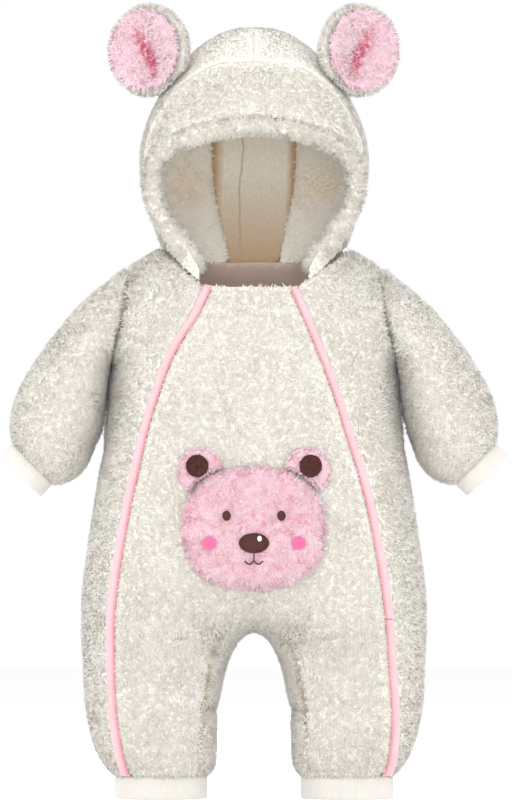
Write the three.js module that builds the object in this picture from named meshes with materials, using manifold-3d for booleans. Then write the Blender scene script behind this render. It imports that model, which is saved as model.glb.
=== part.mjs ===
// A baby's hooded plush snowsuit, filled out as if it were worn, hollow and open at the face,
// neck, sleeves and legs. Millimetres, +Z up. The front faces -Y, and the wearer's left is +X.
// The origin is the middle of the neck opening, at the height of the back neck seam.
// A panel is a wall of plush cloth, and its outer face is where the pile ends.
import * as THREE from "three";
import { mergeVertices } from "three/addons/utils/BufferGeometryUtils.js";
import Module from "manifold-3d";

const wasm = await Module();
wasm.setup();

// Cloth, in millimetres
const PLUSH = 8; // knitted backing and pile together
const LINING = 2;
const RIB = 2.6;
const ZIP_TOP = 1.5; // the bound zips lie this far below the pile's ends
const ZIP_UNDER = 5;
const GAP = 0.34; // between neighbouring pieces, across a seam

// Heights on the suit
const ARMPIT_Z = -105;
const CROTCH_Z = -371;
const LEG_SEAM_Z = -515; // where the plush leg meets its cuff
const CUFF_HEM_Z = -536;
const GUSSET_END_Z = -448;
const CROWN_Z = 240;
const ZIP_JOIN_Z = CROTCH_Z + 16; // where the wearer's left zip welt is pieced

// Half widths across the suit
const NECK_CORNER_X = 95; // where the neckline meets the shoulder seam
const SHOULDER_X = 128; // where the shoulder seam meets the armhole
const ARMPIT_X = 146;
const ARMHOLE_SCOOP = 5;
const ARCH_HALF = 36; // half the gap between the legs
const ARCH_HEIGHT = 100; // height over which the crotch rounds into that gap
const ZIP_HALF = 4.3;

// How the surfaces round off
const FULLNESS = 2.2; // exponent of the rounding at edges: 2 is an ellipse
const SHOULDER_ROUND = 110;

// Torso and legs by height: half width, depth of the front and back from the side seam, and how
// far in from the outer and inner outlines they go on rounding. Above the armpit the half width
// reaches into the sleeve, so the armhole stays open.
const BODY = [
  { z: 45, half: 195, front: 74, back: 72, edge: 150, inner: 66 },
  { z: 0, half: 190, front: 78, back: 75, edge: 150, inner: 66 },
  { z: -30, half: 177, front: 84, back: 82, edge: 145, inner: 66 },
  { z: -60, half: 164, front: 89, back: 88, edge: 138, inner: 66 },
  { z: -85, half: 153, front: 92, back: 92, edge: 130, inner: 66 },
  { z: -97, half: 148.3, front: 93, back: 94, edge: 127, inner: 66 },
  { z: ARMPIT_Z, half: ARMPIT_X, front: 94, back: 95, edge: 125, inner: 66 },
  { z: -125, half: 144, front: 96, back: 98, edge: 123, inner: 66 },
  { z: -148, half: 146, front: 98, back: 101, edge: 122, inner: 66 },
  { z: -172, half: 149, front: 101, back: 104, edge: 121, inner: 66 },
  { z: -205, half: 156, front: 104, back: 108, edge: 120, inner: 66 },
  { z: -238, half: 161, front: 106, back: 111, edge: 118, inner: 66 },
  { z: -288, half: 168, front: 107, back: 114, edge: 112, inner: 66 },
  { z: -338, half: 174, front: 103, back: 112, edge: 98, inner: 67 },
  { z: CROTCH_Z, half: 174, front: 97, back: 104, edge: 87, inner: 68 },
  { z: -400, half: 172.5, front: 84, back: 86, edge: 74, inner: 70 },
  { z: -427, half: 172, front: 74, back: 74, edge: 68, inner: 68 },
  { z: -454, half: 170, front: 69, back: 68, edge: 66, inner: 66 },
  { z: -479, half: 164, front: 66, back: 65, edge: 63, inner: 62 },
  { z: -498, half: 156, front: 62, back: 61, edge: 58, inner: 57 },
  { z: -508, half: 148, front: 57, back: 56, edge: 52, inner: 51 },
  { z: LEG_SEAM_Z, half: 142, front: 52, back: 51, edge: 48, inner: 48 },
];

// The gathering of the inner leg into its cuff, added to the gap between the legs
const HEM_TUCK = [
  { z: -498, inset: 0.5 },
  { z: -508, inset: 3 },
  { z: LEG_SEAM_Z, inset: 8 },
];

// The zips' distance from the middle, for the wearer's right and left
const ZIPS = [
  { z: -22, right: 44, left: 38 },
  { z: -54, right: 59, left: 52 },
  { z: -78, right: 75, left: 62 },
  { z: -109, right: 91, left: 75 },
  { z: -140, right: 102, left: 86 },
  { z: -166, right: 110, left: 94 },
  { z: -197, right: 117, left: 104 },
  { z: -226, right: 124, left: 113 },
  { z: -273, right: 133, left: 123 },
  { z: -318, right: 140, left: 131 },
  { z: -360, right: 144, left: 136 },
  { z: -427, right: 143, left: 140 },
  { z: -454, right: 141, left: 142 },
  { z: -488, right: 136, left: 141 },
  { z: LEG_SEAM_Z, right: 129, left: 134 },
];

// Width of the gusset and of the inner leg's wrap, in front of the inner outline
const GUSSET = [
  { z: -24, width: 15 },
  { z: CROTCH_Z, width: 25 },
  { z: -398, width: 21 },
  { z: -444, width: 17 },
  { z: -488, width: 17 },
  { z: LEG_SEAM_Z, width: 11 },
];

// Heights of the neckline and shoulder by their distance from the middle. The shoulder's line
// goes on over the neck only to round the panels below it.
const NECK_FRONT = [
  { x: 0, z: -24 },
  { x: 30, z: -24 },
  { x: 46, z: -21.5 },
  { x: 60, z: -14 },
  { x: 75, z: -3 },
  { x: 88, z: 10 },
  { x: NECK_CORNER_X, z: 17 },
];
const NECK_BACK = [
  { x: 0, z: 0 },
  { x: 30, z: 0.5 },
  { x: 50, z: 3 },
  { x: 70, z: 8 },
  { x: 85, z: 13 },
  { x: NECK_CORNER_X, z: 17 },
];
const SHOULDER = [
  { x: 0, z: 42 },
  { x: 60, z: 34 },
  { x: NECK_CORNER_X, z: 17 },
  { x: 110, z: 8.5 },
  { x: SHOULDER_X, z: -4 },
  { x: 150, z: -20 },
  { x: 175, z: -42 },
];

// Sleeve from the armhole (share 0) to its cuff (share 1): the outline's upper and lower points,
// half the depth, and how far it hangs forward
const SLEEVE = [
  { share: 0, upperX: 128, upperZ: -4, lowerX: 146, lowerZ: -105, depth: 50, forward: 0 },
  { share: 0.14, upperX: 155, upperZ: -23, lowerX: 147.5, lowerZ: -126, depth: 55, forward: 1 },
  { share: 0.29, upperX: 180, upperZ: -45, lowerX: 149.5, lowerZ: -150, depth: 57, forward: 3 },
  { share: 0.43, upperX: 203, upperZ: -72, lowerX: 153, lowerZ: -175, depth: 57, forward: 6 },
  { share: 0.57, upperX: 222, upperZ: -100, lowerX: 159.5, lowerZ: -196, depth: 56, forward: 9 },
  { share: 0.71, upperX: 238, upperZ: -129, lowerX: 169, lowerZ: -211, depth: 53, forward: 11 },
  { share: 0.86, upperX: 246, upperZ: -156, lowerX: 184, lowerZ: -222, depth: 45, forward: 12 },
  { share: 1, upperX: 244, upperZ: -181, lowerX: 201, lowerZ: -225, depth: 31, forward: 12 },
];

// Hood by height: half width, depth to the face and to the back, and how far back its middle is
const HOOD = [
  { z: -24, half: 58, front: 66, back: 60, middle: 0 },
  { z: 0, half: 79, front: 67, back: 66, middle: 0 },
  { z: 17, half: 92, front: 69, back: 74, middle: 0 },
  { z: 45, half: 107, front: 74, back: 90, middle: 1 },
  { z: 72, half: 114.5, front: 79, back: 101, middle: 2 },
  { z: 99, half: 117, front: 84, back: 107, middle: 3 },
  { z: 124, half: 114, front: 87, back: 109, middle: 4 },
  { z: 145, half: 106, front: 87, back: 106, middle: 6 },
  { z: 165, half: 97, front: 83, back: 100, middle: 8 },
  { z: 185, half: 86, front: 74, back: 91, middle: 10 },
  { z: 205, half: 70, front: 60, back: 76, middle: 12 },
  { z: 222, half: 50, front: 42, back: 56, middle: 14 },
  { z: 233, half: 31, front: 26, back: 36, middle: 15 },
  { z: CROWN_Z, half: 0, front: 0, back: 0, middle: 15 },
];
const HOOD_FRONT_FULLNESS = 3;
const HOOD_BACK_FULLNESS = 1.8;
const HOOD_CROSS_SEAM = { y: -52, z: 200, lean: 8 }; // the forehead's band ends here
const LINING_FRONT_Y = -30;

// Face opening by height
const FACE = [
  { z: -60, half: 43 },
  { z: -11, half: 44 },
  { z: 0, half: 47 },
  { z: 19, half: 60 },
  { z: 38, half: 75 },
  { z: 58, half: 87 },
  { z: 80, half: 91.5 },
  { z: 95, half: 88 },
  { z: 105, half: 77 },
  { z: 112, half: 60 },
  { z: 118, half: 40 },
  { z: 122, half: 19 },
  { z: 123, half: 0 },
];
const RIM_RADIUS = 11;
const RIM_FOOT_Z = -14;
const RIM_PROUD = 2; // how far the rolled rim stands in front of the hood
const RIM_SET_BACK = 0.75; // share of its radius that its middle lies behind the hood's front

// Ears on the hood
const EAR = { halfWidth: 48, halfHeight: 48, x: 104, y: -22, z: 211, turn: 32, tilt: 14 };

// Animal-head patch on the front
const PATCH = { z: -265, halfWidth: 73, halfHeight: 63, height: 13, fullness: 2.35 };
const PATCH_EAR = { x: 53, z: -208, radius: 24, height: 8 };
const PATCH_EAR_INSIDE = { x: 56, z: -203, radius: 11.5, height: 1.4 };
const PATCH_NOSE = { z: -279, halfWidth: 15, halfHeight: 10, height: 2 };

// Smooth value of a table's column between its rows, with no overshoot
function lookup(table, by, column, at) {
  const rows = table[0][by] < table[table.length - 1][by] ? table : [...table].reverse();
  const last = rows.length - 1;
  if (at <= rows[0][by]) return rows[0][column];
  if (at >= rows[last][by]) return rows[last][column];
  let k = 0;
  while (at > rows[k + 1][by]) k += 1;
  const slope = (i) => (rows[i + 1][column] - rows[i][column]) / (rows[i + 1][by] - rows[i][by]);
  const tangent = (i) => {
    if (i === 0) return slope(0);
    if (i === last) return slope(last - 1);
    const [before, after] = [slope(i - 1), slope(i)];
    return before * after <= 0 ? 0 : (2 * before * after) / (before + after);
  };
  const width = rows[k + 1][by] - rows[k][by];
  const t = (at - rows[k][by]) / width;
  const rise = t * t * (3 - 2 * t);
  return (
    rows[k][column] * (1 - rise) +
    rows[k + 1][column] * rise +
    tangent(k) * width * t * (1 - t) * (1 - t) -
    tangent(k + 1) * width * t * t * (1 - t)
  );
}

const mix = (a, b, share) => a + (b - a) * share;
const ease = (t) => {
  const s = Math.min(Math.max(t, 0), 1);
  return s * s * (3 - 2 * s);
};

// Rounding of a filled panel: 0 at its outline, 1 a full width in from it
function swell(distance, width) {
  const left = 1 - Math.min(Math.max(distance / width, 0), 1);
  return (1 - left ** FULLNESS) ** (1 / FULLNESS);
}

const body = (column, z) => lookup(BODY, "z", column, z);
const shoulderZ = (x) => lookup(SHOULDER, "x", "z", x);

// Half the gap between the legs, and the distance of a point from that arch
function innerGap(z) {
  if (z >= CROTCH_Z) return 0;
  const up = (z - (CROTCH_Z - ARCH_HEIGHT)) / ARCH_HEIGHT;
  const arch = up > 0 ? ARCH_HALF * Math.sqrt(Math.max(0, 1 - up * up)) : ARCH_HALF;
  return arch + (z < HEM_TUCK[0].z ? lookup(HEM_TUCK, "z", "inset", z) : 0);
}
function archDistance(x, z) {
  const up = z - (CROTCH_Z - ARCH_HEIGHT);
  if (up <= 0) return x - innerGap(z);
  const reach = Math.hypot(x / ARCH_HALF, up / ARCH_HEIGHT);
  return (reach * (reach - 1)) / Math.hypot(x / ARCH_HALF ** 2, up / ARCH_HEIGHT ** 2);
}

// Depth of the torso or a leg from the side seam's plane, on face "front" or "back"
function bodyDepth(face, x, z) {
  return (
    body(face, z) *
    swell(body("half", z) - x, body("edge", z)) *
    swell(shoulderZ(x) - z, SHOULDER_ROUND) *
    swell(archDistance(x, z), body("inner", z))
  );
}

// Corners shared by the panels that meet there, and triangles named by panel
const SAME_CORNER = 0.02; // points nearer than this are one corner
const corners = [];
const cornerAt = new Map();
const triangles = [];
function corner(p) {
  const key = [p.x, p.y, p.z].map((v) => Math.round(v / SAME_CORNER)).join();
  if (!cornerAt.has(key)) {
    cornerAt.set(key, corners.length);
    corners.push(p);
  }
  return cornerAt.get(key);
}
function quad(panel, a, b, c, d, flip) {
  const ids = [a, b, c, d].map(corner);
  for (const [i, j, k] of [[0, 1, 2], [0, 2, 3]]) {
    const t = flip ? [ids[i], ids[k], ids[j]] : [ids[i], ids[j], ids[k]];
    if (new Set(t).size === 3) triangles.push({ panel, t });
  }
}

// Rows of the torso and legs: from the neckline to the armpit they follow the armhole, and below
// it they are level
const ARMHOLE_STEPS = 7;
const TORSO_STEPS = 6;
const ABOVE_CROTCH = [60, 37, ZIP_JOIN_Z - CROTCH_Z, 6, 1.6, 0];
const BELOW_CROTCH = [2.2, 8, 19, 38, CROTCH_Z - GUSSET_END_Z, 104, 126, 138];
const rows = [];
for (let i = 0; i <= ARMHOLE_STEPS; i += 1) {
  const turn = (Math.PI * i) / ARMHOLE_STEPS;
  const share = (1 - Math.cos(turn)) / 2;
  const edge = mix(SHOULDER_X, ARMPIT_X, share) - ARMHOLE_SCOOP * Math.sin(turn);
  rows.push({ share, z: ARMPIT_Z, edge });
}
const firstAbove = CROTCH_Z + ABOVE_CROTCH[0];
for (let i = 1; i < TORSO_STEPS; i += 1)
  rows.push({ share: 1, z: mix(ARMPIT_Z, firstAbove, i / TORSO_STEPS) });
for (const up of ABOVE_CROTCH) rows.push({ share: 1, z: CROTCH_Z + up });
const crotchRow = rows.length - 1;
for (const down of BELOW_CROTCH) rows.push({ share: 1, z: CROTCH_Z - down });
rows.push({ share: 1, z: LEG_SEAM_Z });

// Columns by their share of the way across. Down the legs they gather at the rounded edges, and
// on the belly and back they spread out.
const INNER = [0, 0.06, 0.22, 0.53]; // of the gusset's half width, from the inner outline
const STRIP = [0, 0.3, 0.58, 0.79, 0.94, 1]; // of the side panel, from its zip to the side seam
const BACK = [0, 0.05, 0.18, 0.4, 0.7, 1]; // from the side seam to the gusset's seam
const FRONT_STEPS = 3; // from the gusset's seam to the zip
const STRIP_CORNER = 3; // these columns meet the neckline's corner at the top
const BACK_CORNER = 2;
const SPREAD_FROM_Z = -255;
const SPREAD_TO_Z = CROTCH_Z + 4;

// Distances from the middle along one row
function frontColumns(side, row) {
  const z = mix(NECK_FRONT[0].z, row.z, row.share);
  const edge = row.edge ?? body("half", row.z);
  const inner = innerGap(z);
  const width = lookup(GUSSET, "z", "width", z);
  const zip = lookup(ZIPS, "z", side, z);
  const gathered = INNER.map((s) => inner + s * width);
  for (let j = 0; j <= FRONT_STEPS; j += 1)
    gathered.push(mix(inner + width, zip - ZIP_HALF, j / FRONT_STEPS));
  const low = ease((SPREAD_FROM_Z - z) / (SPREAD_FROM_Z - SPREAD_TO_Z));
  const last = gathered.length - 1;
  const xs = gathered.map((x, j) => mix(mix(inner, zip - ZIP_HALF, j / last), x, low));
  const top = lookup(ZIPS, "z", side, NECK_FRONT[0].z) + ZIP_HALF;
  STRIP.forEach((s, j) => {
    const level = mix(zip + ZIP_HALF, edge, s);
    const beyond = (j - STRIP_CORNER) / (STRIP.length - 1 - STRIP_CORNER);
    const start = beyond < 0 ? mix(top, NECK_CORNER_X, j / STRIP_CORNER)
      : mix(NECK_CORNER_X, SHOULDER_X, beyond);
    xs.push(s === 1 ? edge : s === 0 ? level : mix(start, level, row.share));
  });
  return xs;
}
function backColumns(row) {
  const z = mix(0, row.z, row.share);
  const edge = row.edge ?? body("half", row.z);
  const inner = innerGap(z);
  const width = lookup(GUSSET, "z", "width", z);
  const gathered = BACK.map((s) => mix(edge, inner + width, s));
  gathered.push(...[...INNER].reverse().map((s) => inner + s * width));
  const low = ease((SPREAD_FROM_Z - z) / (SPREAD_FROM_Z - SPREAD_TO_Z));
  const even = (j) => (j <= BACK_CORNER + 1 ? BACK[j] : mix(BACK[BACK_CORNER + 1], 1,
    (j - BACK_CORNER - 1) / (gathered.length - 2 - BACK_CORNER)));
  return gathered.map((x, j) => {
    const level = mix(mix(edge, inner, even(j)), x, low);
    const beyond = (j - BACK_CORNER) / (gathered.length - 1 - BACK_CORNER);
    const start = beyond < 0 ? mix(SHOULDER_X, NECK_CORNER_X, j / BACK_CORNER)
      : mix(NECK_CORNER_X, 0, beyond);
    return j === 0 ? edge : mix(start, level, row.share);
  });
}

// Points of one face of one half, a list for each row
function bodyGrid(side, face) {
  const sign = side === "left" ? 1 : -1;
  const neck = face === "front" ? NECK_FRONT : NECK_BACK;
  const columns = (row) => (face === "front" ? frontColumns(side, row) : backColumns(row));
  const top = columns(rows[0]).map((x) =>
    x <= NECK_CORNER_X ? lookup(neck, "x", "z", x) : shoulderZ(x),
  );
  return rows.map((row) =>
    columns(row).map((x, j) => {
      const z = mix(top[j], row.z, row.share);
      const depth = bodyDepth(face, x, z);
      return new THREE.Vector3(sign * x, face === "front" ? -depth : depth, z);
    }),
  );
}

const zipColumn = INNER.length + FRONT_STEPS;
function frontPanel(side, i, j) {
  const z = rows[i + 1].z;
  if (j < INNER.length && i >= crotchRow - 1) return z >= GUSSET_END_Z ? "crotch_gusset" : "back_panel";
  if (j < zipColumn) return "front_panel";
  if (j > zipColumn) return "side_panel_" + side;
  if (side === "right") return "zip_right";
  return z >= ZIP_JOIN_Z ? "zip_left_upper" : "zip_left_lower";
}
function backPanel(i, j) {
  const inner = j >= BACK.length - 1 && i >= crotchRow - 1;
  return inner && rows[i + 1].z >= GUSSET_END_Z ? "crotch_gusset" : "back_panel";
}

const grids = {};
for (const side of ["right", "left"]) {
  const front = bodyGrid(side, "front");
  const back = bodyGrid(side, "back");
  grids[side] = { front, back };
  for (let i = 0; i + 1 < rows.length; i += 1) {
    for (let j = 0; j + 1 < front[i].length; j += 1)
      quad(frontPanel(side, i, j), front[i][j], front[i + 1][j], front[i + 1][j + 1],
        front[i][j + 1], side === "right");
    for (let j = 0; j + 1 < back[i].length; j += 1)
      quad(backPanel(i, j), back[i][j], back[i + 1][j], back[i + 1][j + 1], back[i][j + 1],
        side === "right");
  }
}

// Sleeves: rings from the armhole's own corners to the cuff
const SLEEVE_STEPS = 9;
function sleevePoint(side, share, turn) {
  const sign = side === "left" ? 1 : -1;
  const [ux, uz, lx, lz, depth, forward] = [
    "upperX", "upperZ", "lowerX", "lowerZ", "depth", "forward",
  ].map((column) => lookup(SLEEVE, "share", column, share));
  const high = (1 + Math.cos(turn)) / 2;
  const y = -forward - depth * Math.sin(turn);
  return new THREE.Vector3(sign * mix(lx, ux, high), y, mix(lz, uz, high));
}
function armholeRing(side) {
  const { front, back } = grids[side];
  const edge = (grid, i) => (grid === back ? grid[i][0] : grid[i][grid[i].length - 1]);
  const ring = [];
  for (let i = 0; i < ARMHOLE_STEPS; i += 1) ring.push(edge(front, i));
  for (let i = ARMHOLE_STEPS; i > 0; i -= 1) ring.push(edge(back, i));
  return ring;
}
for (const side of ["right", "left"]) {
  const around = 2 * ARMHOLE_STEPS;
  const rings = [armholeRing(side)];
  for (let k = 1; k <= SLEEVE_STEPS; k += 1) {
    const ring = [];
    for (let m = 0; m < around; m += 1)
      ring.push(sleevePoint(side, k / SLEEVE_STEPS, (Math.PI * m) / ARMHOLE_STEPS));
    rings.push(ring);
  }
  for (let k = 0; k < SLEEVE_STEPS; k += 1)
    for (let m = 0; m < around; m += 1) {
      const n = (m + 1) % around;
      quad("sleeve_" + side, rings[k][m], rings[k][n], rings[k + 1][n], rings[k + 1][m],
        side === "right");
    }
}

// Hood: rings from the neckline's own corners to the crown
function hoodPoint(angle, z) {
  const [half, front, back, middle] = ["half", "front", "back", "middle"].map((column) =>
    lookup(HOOD, "z", column, z),
  );
  if (half < 0.01) return new THREE.Vector3(0, middle, z);
  const ahead = Math.cos(angle) > 0;
  const n = ahead ? HOOD_FRONT_FULLNESS : HOOD_BACK_FULLNESS;
  const depth = ahead ? front : back;
  const across = Math.abs(Math.sin(angle) / half) ** n;
  const along = Math.abs(Math.cos(angle) / depth) ** n;
  const radius = (across + along) ** (-1 / n);
  return new THREE.Vector3(radius * Math.sin(angle), middle - radius * Math.cos(angle), z);
}
const HOOD_HEIGHTS = [0, 0.07, 0.16, 0.27, 0.39, 0.51, 0.63, 0.74, 0.84, 0.915, 0.97, 1];
const NECK_FRONT_SKIP = [1, 2, 3, 5, 6]; // corners under the face opening, not needed above
const NECK_BLEND = 0.22; // share of the height over which the neckline turns into the hood
const EVEN_BY = 0.4; // from this share of the height on, the columns are evenly spread
function neckRing() {
  const ring = [];
  const half = (side) => {
    const front = grids[side].front[0]
      .slice(0, zipColumn + 2 + STRIP_CORNER)
      .filter((_, j) => !NECK_FRONT_SKIP.includes(j));
    const back = grids[side].back[0].slice(BACK_CORNER + 1);
    return [...front, ...back];
  };
  const left = half("left");
  const right = half("right").slice(1, -1).reverse();
  ring.push(...left, ...right);
  return ring;
}
const neck = neckRing();
const hoodRings = HOOD_HEIGHTS.map((share) =>
  neck.map((n, m) => {
    const even = (2 * Math.PI * m) / neck.length;
    const own = Math.atan2(n.x, -n.y);
    const unwound = own < -1e-6 ? own + 2 * Math.PI : own;
    const angle = mix(unwound, even, ease(share / EVEN_BY));
    const p = hoodPoint(angle, mix(n.z, CROWN_Z, share));
    return n.clone().lerp(p, ease(share / NECK_BLEND));
  }),
);
const atBack = neck.length / 2; // this corner and the first are on the middle line
for (let k = 0; k + 1 < hoodRings.length; k += 1)
  neck.forEach((_, m) => {
    const n = (m + 1) % neck.length;
    const panel = m < atBack ? "hood_left" : "hood_right";
    quad(panel, hoodRings[k][m], hoodRings[k][n], hoodRings[k + 1][n], hoodRings[k + 1][m], false);
  });

// Outward direction at each corner, over all the panels that meet there
const outward = corners.map(() => new THREE.Vector3());
for (const { t } of triangles) {
  const [a, b, c] = t.map((id) => corners[id]);
  const normal = b.clone().sub(a).cross(c.clone().sub(a)).normalize();
  [[a, b, c], [b, c, a], [c, a, b]].forEach(([p, q, r], k) => {
    const angle = q.clone().sub(p).angleTo(r.clone().sub(p));
    outward[t[k]].addScaledVector(normal, angle);
  });
}
outward.forEach((n) => n.normalize());

// Towards a hem the wall's thickness turns square to its leg or sleeve, to take the cuff
const SQUARING = 24; // along the leg or sleeve
const last = SLEEVE[SLEEVE.length - 1];
const wristAxis = (sign) =>
  new THREE.Vector3(sign * (last.upperZ - last.lowerZ), 0, last.lowerX - last.upperX).normalize();
function squareOff(belongs, axis, hemAt) {
  corners.forEach((p, id) => {
    const share = belongs(p) ? ease(1 - (hemAt - axis.dot(p)) / SQUARING) : 0;
    outward[id].addScaledVector(axis, -share * outward[id].dot(axis)).normalize();
  });
}
const isLeg = (p) => p.z < CROTCH_Z;
squareOff(isLeg, new THREE.Vector3(0, 0, -1), -LEG_SEAM_Z);
for (const sign of [-1, 1]) {
  const axis = wristAxis(sign);
  const isSleeve = (p) => p.x * sign > SHOULDER_X && p.z > last.lowerZ - 1;
  squareOff(isSleeve, axis, axis.dot(new THREE.Vector3(sign * last.upperX, 0, last.upperZ)));
}

// The hood's lining takes some of the hood's rings: all of them where the neck turns inwards
const LINING_COLUMNS = 2; // the middle piece reaches this many columns to each side
const liningRings = [0, 1, 2, 3, 5, 7, 9, 11].map((k) => hoodRings[k]);
for (let k = 0; k + 1 < liningRings.length; k += 1)
  neck.forEach((_, m) => {
    const n = (m + 1) % neck.length;
    const [low, high] = [liningRings[k], liningRings[k + 1]];
    const side = m < atBack ? "hood_lining_left" : "hood_lining_right";
    const near = m >= atBack - LINING_COLUMNS && m < atBack + LINING_COLUMNS;
    quad(near ? "hood_lining_middle" : side, low[m], low[n], high[n], high[m], false);
  });

// A closed solid from points and triangles, turned to face out
function solid(points, faces) {
  const data = new Float32Array(points.flatMap((p) => [p.x, p.y, p.z]));
  const make = (list) =>
    new wasm.Manifold(
      new wasm.Mesh({ numProp: 3, vertProperties: data, triVerts: new Uint32Array(list.flat()) }),
    );
  const made = make(faces);
  return made.volume() > 0 ? made : make(faces.map(([a, b, c]) => [a, c, b]));
}

// The wall of the picked triangles, from "raised" above their surface to "deep" below it, with its
// edges drawn in from the seams
function wall(picked, raised, deep, drawIn = GAP / 2) {
  const own = triangles.filter(picked).map(({ t }) => t);
  const edges = new Map();
  for (const t of own)
    for (const [a, b] of [[t[0], t[1]], [t[1], t[2]], [t[2], t[0]]]) {
      if (edges.has(b + "," + a)) edges.delete(b + "," + a);
      else edges.set(a + "," + b, { a, b, t });
    }
  const drawnIn = new Map();
  for (const { a, b, t } of edges.values()) {
    const [p, q, r] = t.map((id) => corners[id]);
    const normal = q.clone().sub(p).cross(r.clone().sub(p)).normalize();
    const inward = normal.cross(corners[b].clone().sub(corners[a])).normalize();
    for (const id of [a, b]) drawnIn.set(id, (drawnIn.get(id) ?? new THREE.Vector3()).add(inward));
  }
  const ids = [...new Set(own.flat())];
  const place = new Map(ids.map((id, k) => [id, k]));
  const at = (id, out) => {
    const p = corners[id].clone().addScaledVector(outward[id], out);
    const inward = drawnIn.get(id);
    if (!inward) return p;
    const square = Math.max(inward.lengthSq() / 2, 0.5); // 2 on a straight edge, less at a corner
    return p.addScaledVector(inward, drawIn / square);
  };
  const points = [...ids.map((id) => at(id, raised)), ...ids.map((id) => at(id, -deep))];
  const under = (id) => place.get(id) + ids.length;
  const faces = [];
  for (const [a, b, c] of own) {
    faces.push([place.get(a), place.get(b), place.get(c)], [under(a), under(c), under(b)]);
  }
  for (const { a, b } of edges.values()) {
    const [upA, upB, downA, downB] = [place.get(a), place.get(b), under(a), under(b)];
    if (a < b) faces.push([upA, downA, downB], [upA, downB, upB]);
    else faces.push([upA, downA, upB], [upB, downA, downB]); // both sides of a seam cut it alike
  }
  return solid(points, faces);
}

// Rings joined in order: the ends are closed, or the last ring meets the first
function loft(rings, closedUp = false) {
  const around = rings[0].length;
  const points = rings.flat();
  const faces = [];
  const count = closedUp ? rings.length : rings.length - 1;
  for (let k = 0; k < count; k += 1)
    for (let m = 0; m < around; m += 1) {
      const [a, b] = [k * around, ((k + 1) % rings.length) * around];
      const n = (m + 1) % around;
      faces.push([a + m, a + n, b + n], [a + m, b + n, b + m]);
    }
  if (!closedUp)
    for (const [ring, k, turned] of [[rings[0], 0, true], [rings[rings.length - 1], 1, false]]) {
      const middle = ring.reduce((sum, p) => sum.add(p), new THREE.Vector3());
      points.push(middle.divideScalar(around));
      const base = k * (rings.length - 1) * around;
      for (let m = 0; m < around; m += 1) {
        const [a, b] = [base + m, base + ((m + 1) % around)];
        faces.push(turned ? [points.length - 1, b, a] : [points.length - 1, a, b]);
      }
    }
  return solid(points, faces);
}

// The largest body of a solid after its neighbours are cut away, each moved a seam's gap towards
// it in the named directions
const [UP, FORWARD, BACKWARD] = [[0, 0, GAP], [0, -GAP, 0], [0, GAP, 0]];
function clearOf(piece, neighbours, directions) {
  let left = piece;
  for (const other of neighbours)
    for (const step of directions) left = left.subtract(other.translate(step));
  return largest(left);
}
function largest(piece) {
  return piece.decompose().reduce((best, part) => (part.volume() > best.volume() ? part : best));
}

// A box as a solid, for cutting seams
function slab(low, high) {
  const [size, middle] = [
    low.map((v, k) => high[k] - v),
    low.map((v, k) => (high[k] + v) / 2),
  ];
  const geometry = new THREE.BoxGeometry(...size).translate(...middle);
  return fromGeometry(geometry);
}
function fromGeometry(geometry) {
  geometry.deleteAttribute("normal");
  geometry.deleteAttribute("uv");
  const merged = mergeVertices(geometry, 1e-4);
  const position = merged.getAttribute("position");
  const points = [];
  for (let i = 0; i < position.count; i += 1)
    points.push(new THREE.Vector3().fromBufferAttribute(position, i));
  const faces = [];
  for (let i = 0; i < merged.index.count; i += 3)
    faces.push([0, 1, 2].map((k) => merged.index.getX(i + k)));
  return solid(points, faces);
}

const FAR = 400; // beyond the suit on any side
const solids = {};
const named = (name) => ({ panel }) => panel === name;

// Body, sleeves and zips
for (const name of ["front_panel", "side_panel_right", "side_panel_left", "back_panel",
  "crotch_gusset", "sleeve_right", "sleeve_left"])
  solids[name] = wall(named(name), 0, PLUSH);
for (const name of ["zip_right", "zip_left_upper", "zip_left_lower"])
  solids[name] = wall(named(name), -ZIP_TOP, ZIP_UNDER, GAP);

// Facing inside the back neck
const FACING_Z = -42;
const inFacing = ({ panel, t }) =>
  panel === "back_panel" &&
  t.every((id) => corners[id].y > -1 && corners[id].z > FACING_Z && onNeck(corners[id]));
const onNeck = (p) => Math.abs(p.x) < NECK_CORNER_X + 1;
const insideWall = PLUSH + GAP;
solids.neck_facing = wall(inFacing, -insideWall, insideWall + LINING);

// Face opening: an outline with a spare width all round, pushed through the hood's front
function faceOutline(spare) {
  const half = FACE.map((row) => new THREE.Vector2(row.half, row.z));
  const mirrored = half.slice(0, -1).reverse().map((p) => new THREE.Vector2(-p.x, p.y));
  const line = [...half, ...mirrored];
  return line.map((p, k) => {
    const [before, after] = [line[Math.max(k - 1, 0)], line[Math.min(k + 1, line.length - 1)]];
    const along = after.clone().sub(before).normalize();
    return new THREE.Vector2(p.x + along.y * spare, p.y - along.x * spare);
  });
}
const PUSH = { fromY: -5, depth: 150 }; // starts inside the hood, and ends well in front of it
function facePrism(spare) {
  const geometry = new THREE.ExtrudeGeometry(new THREE.Shape(faceOutline(spare)), {
    depth: PUSH.depth,
    bevelEnabled: false,
  });
  geometry.rotateX(Math.PI / 2); // the outline's height becomes Z, and the push runs along -Y
  geometry.translate(0, PUSH.fromY, 0);
  return fromGeometry(geometry);
}

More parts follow.
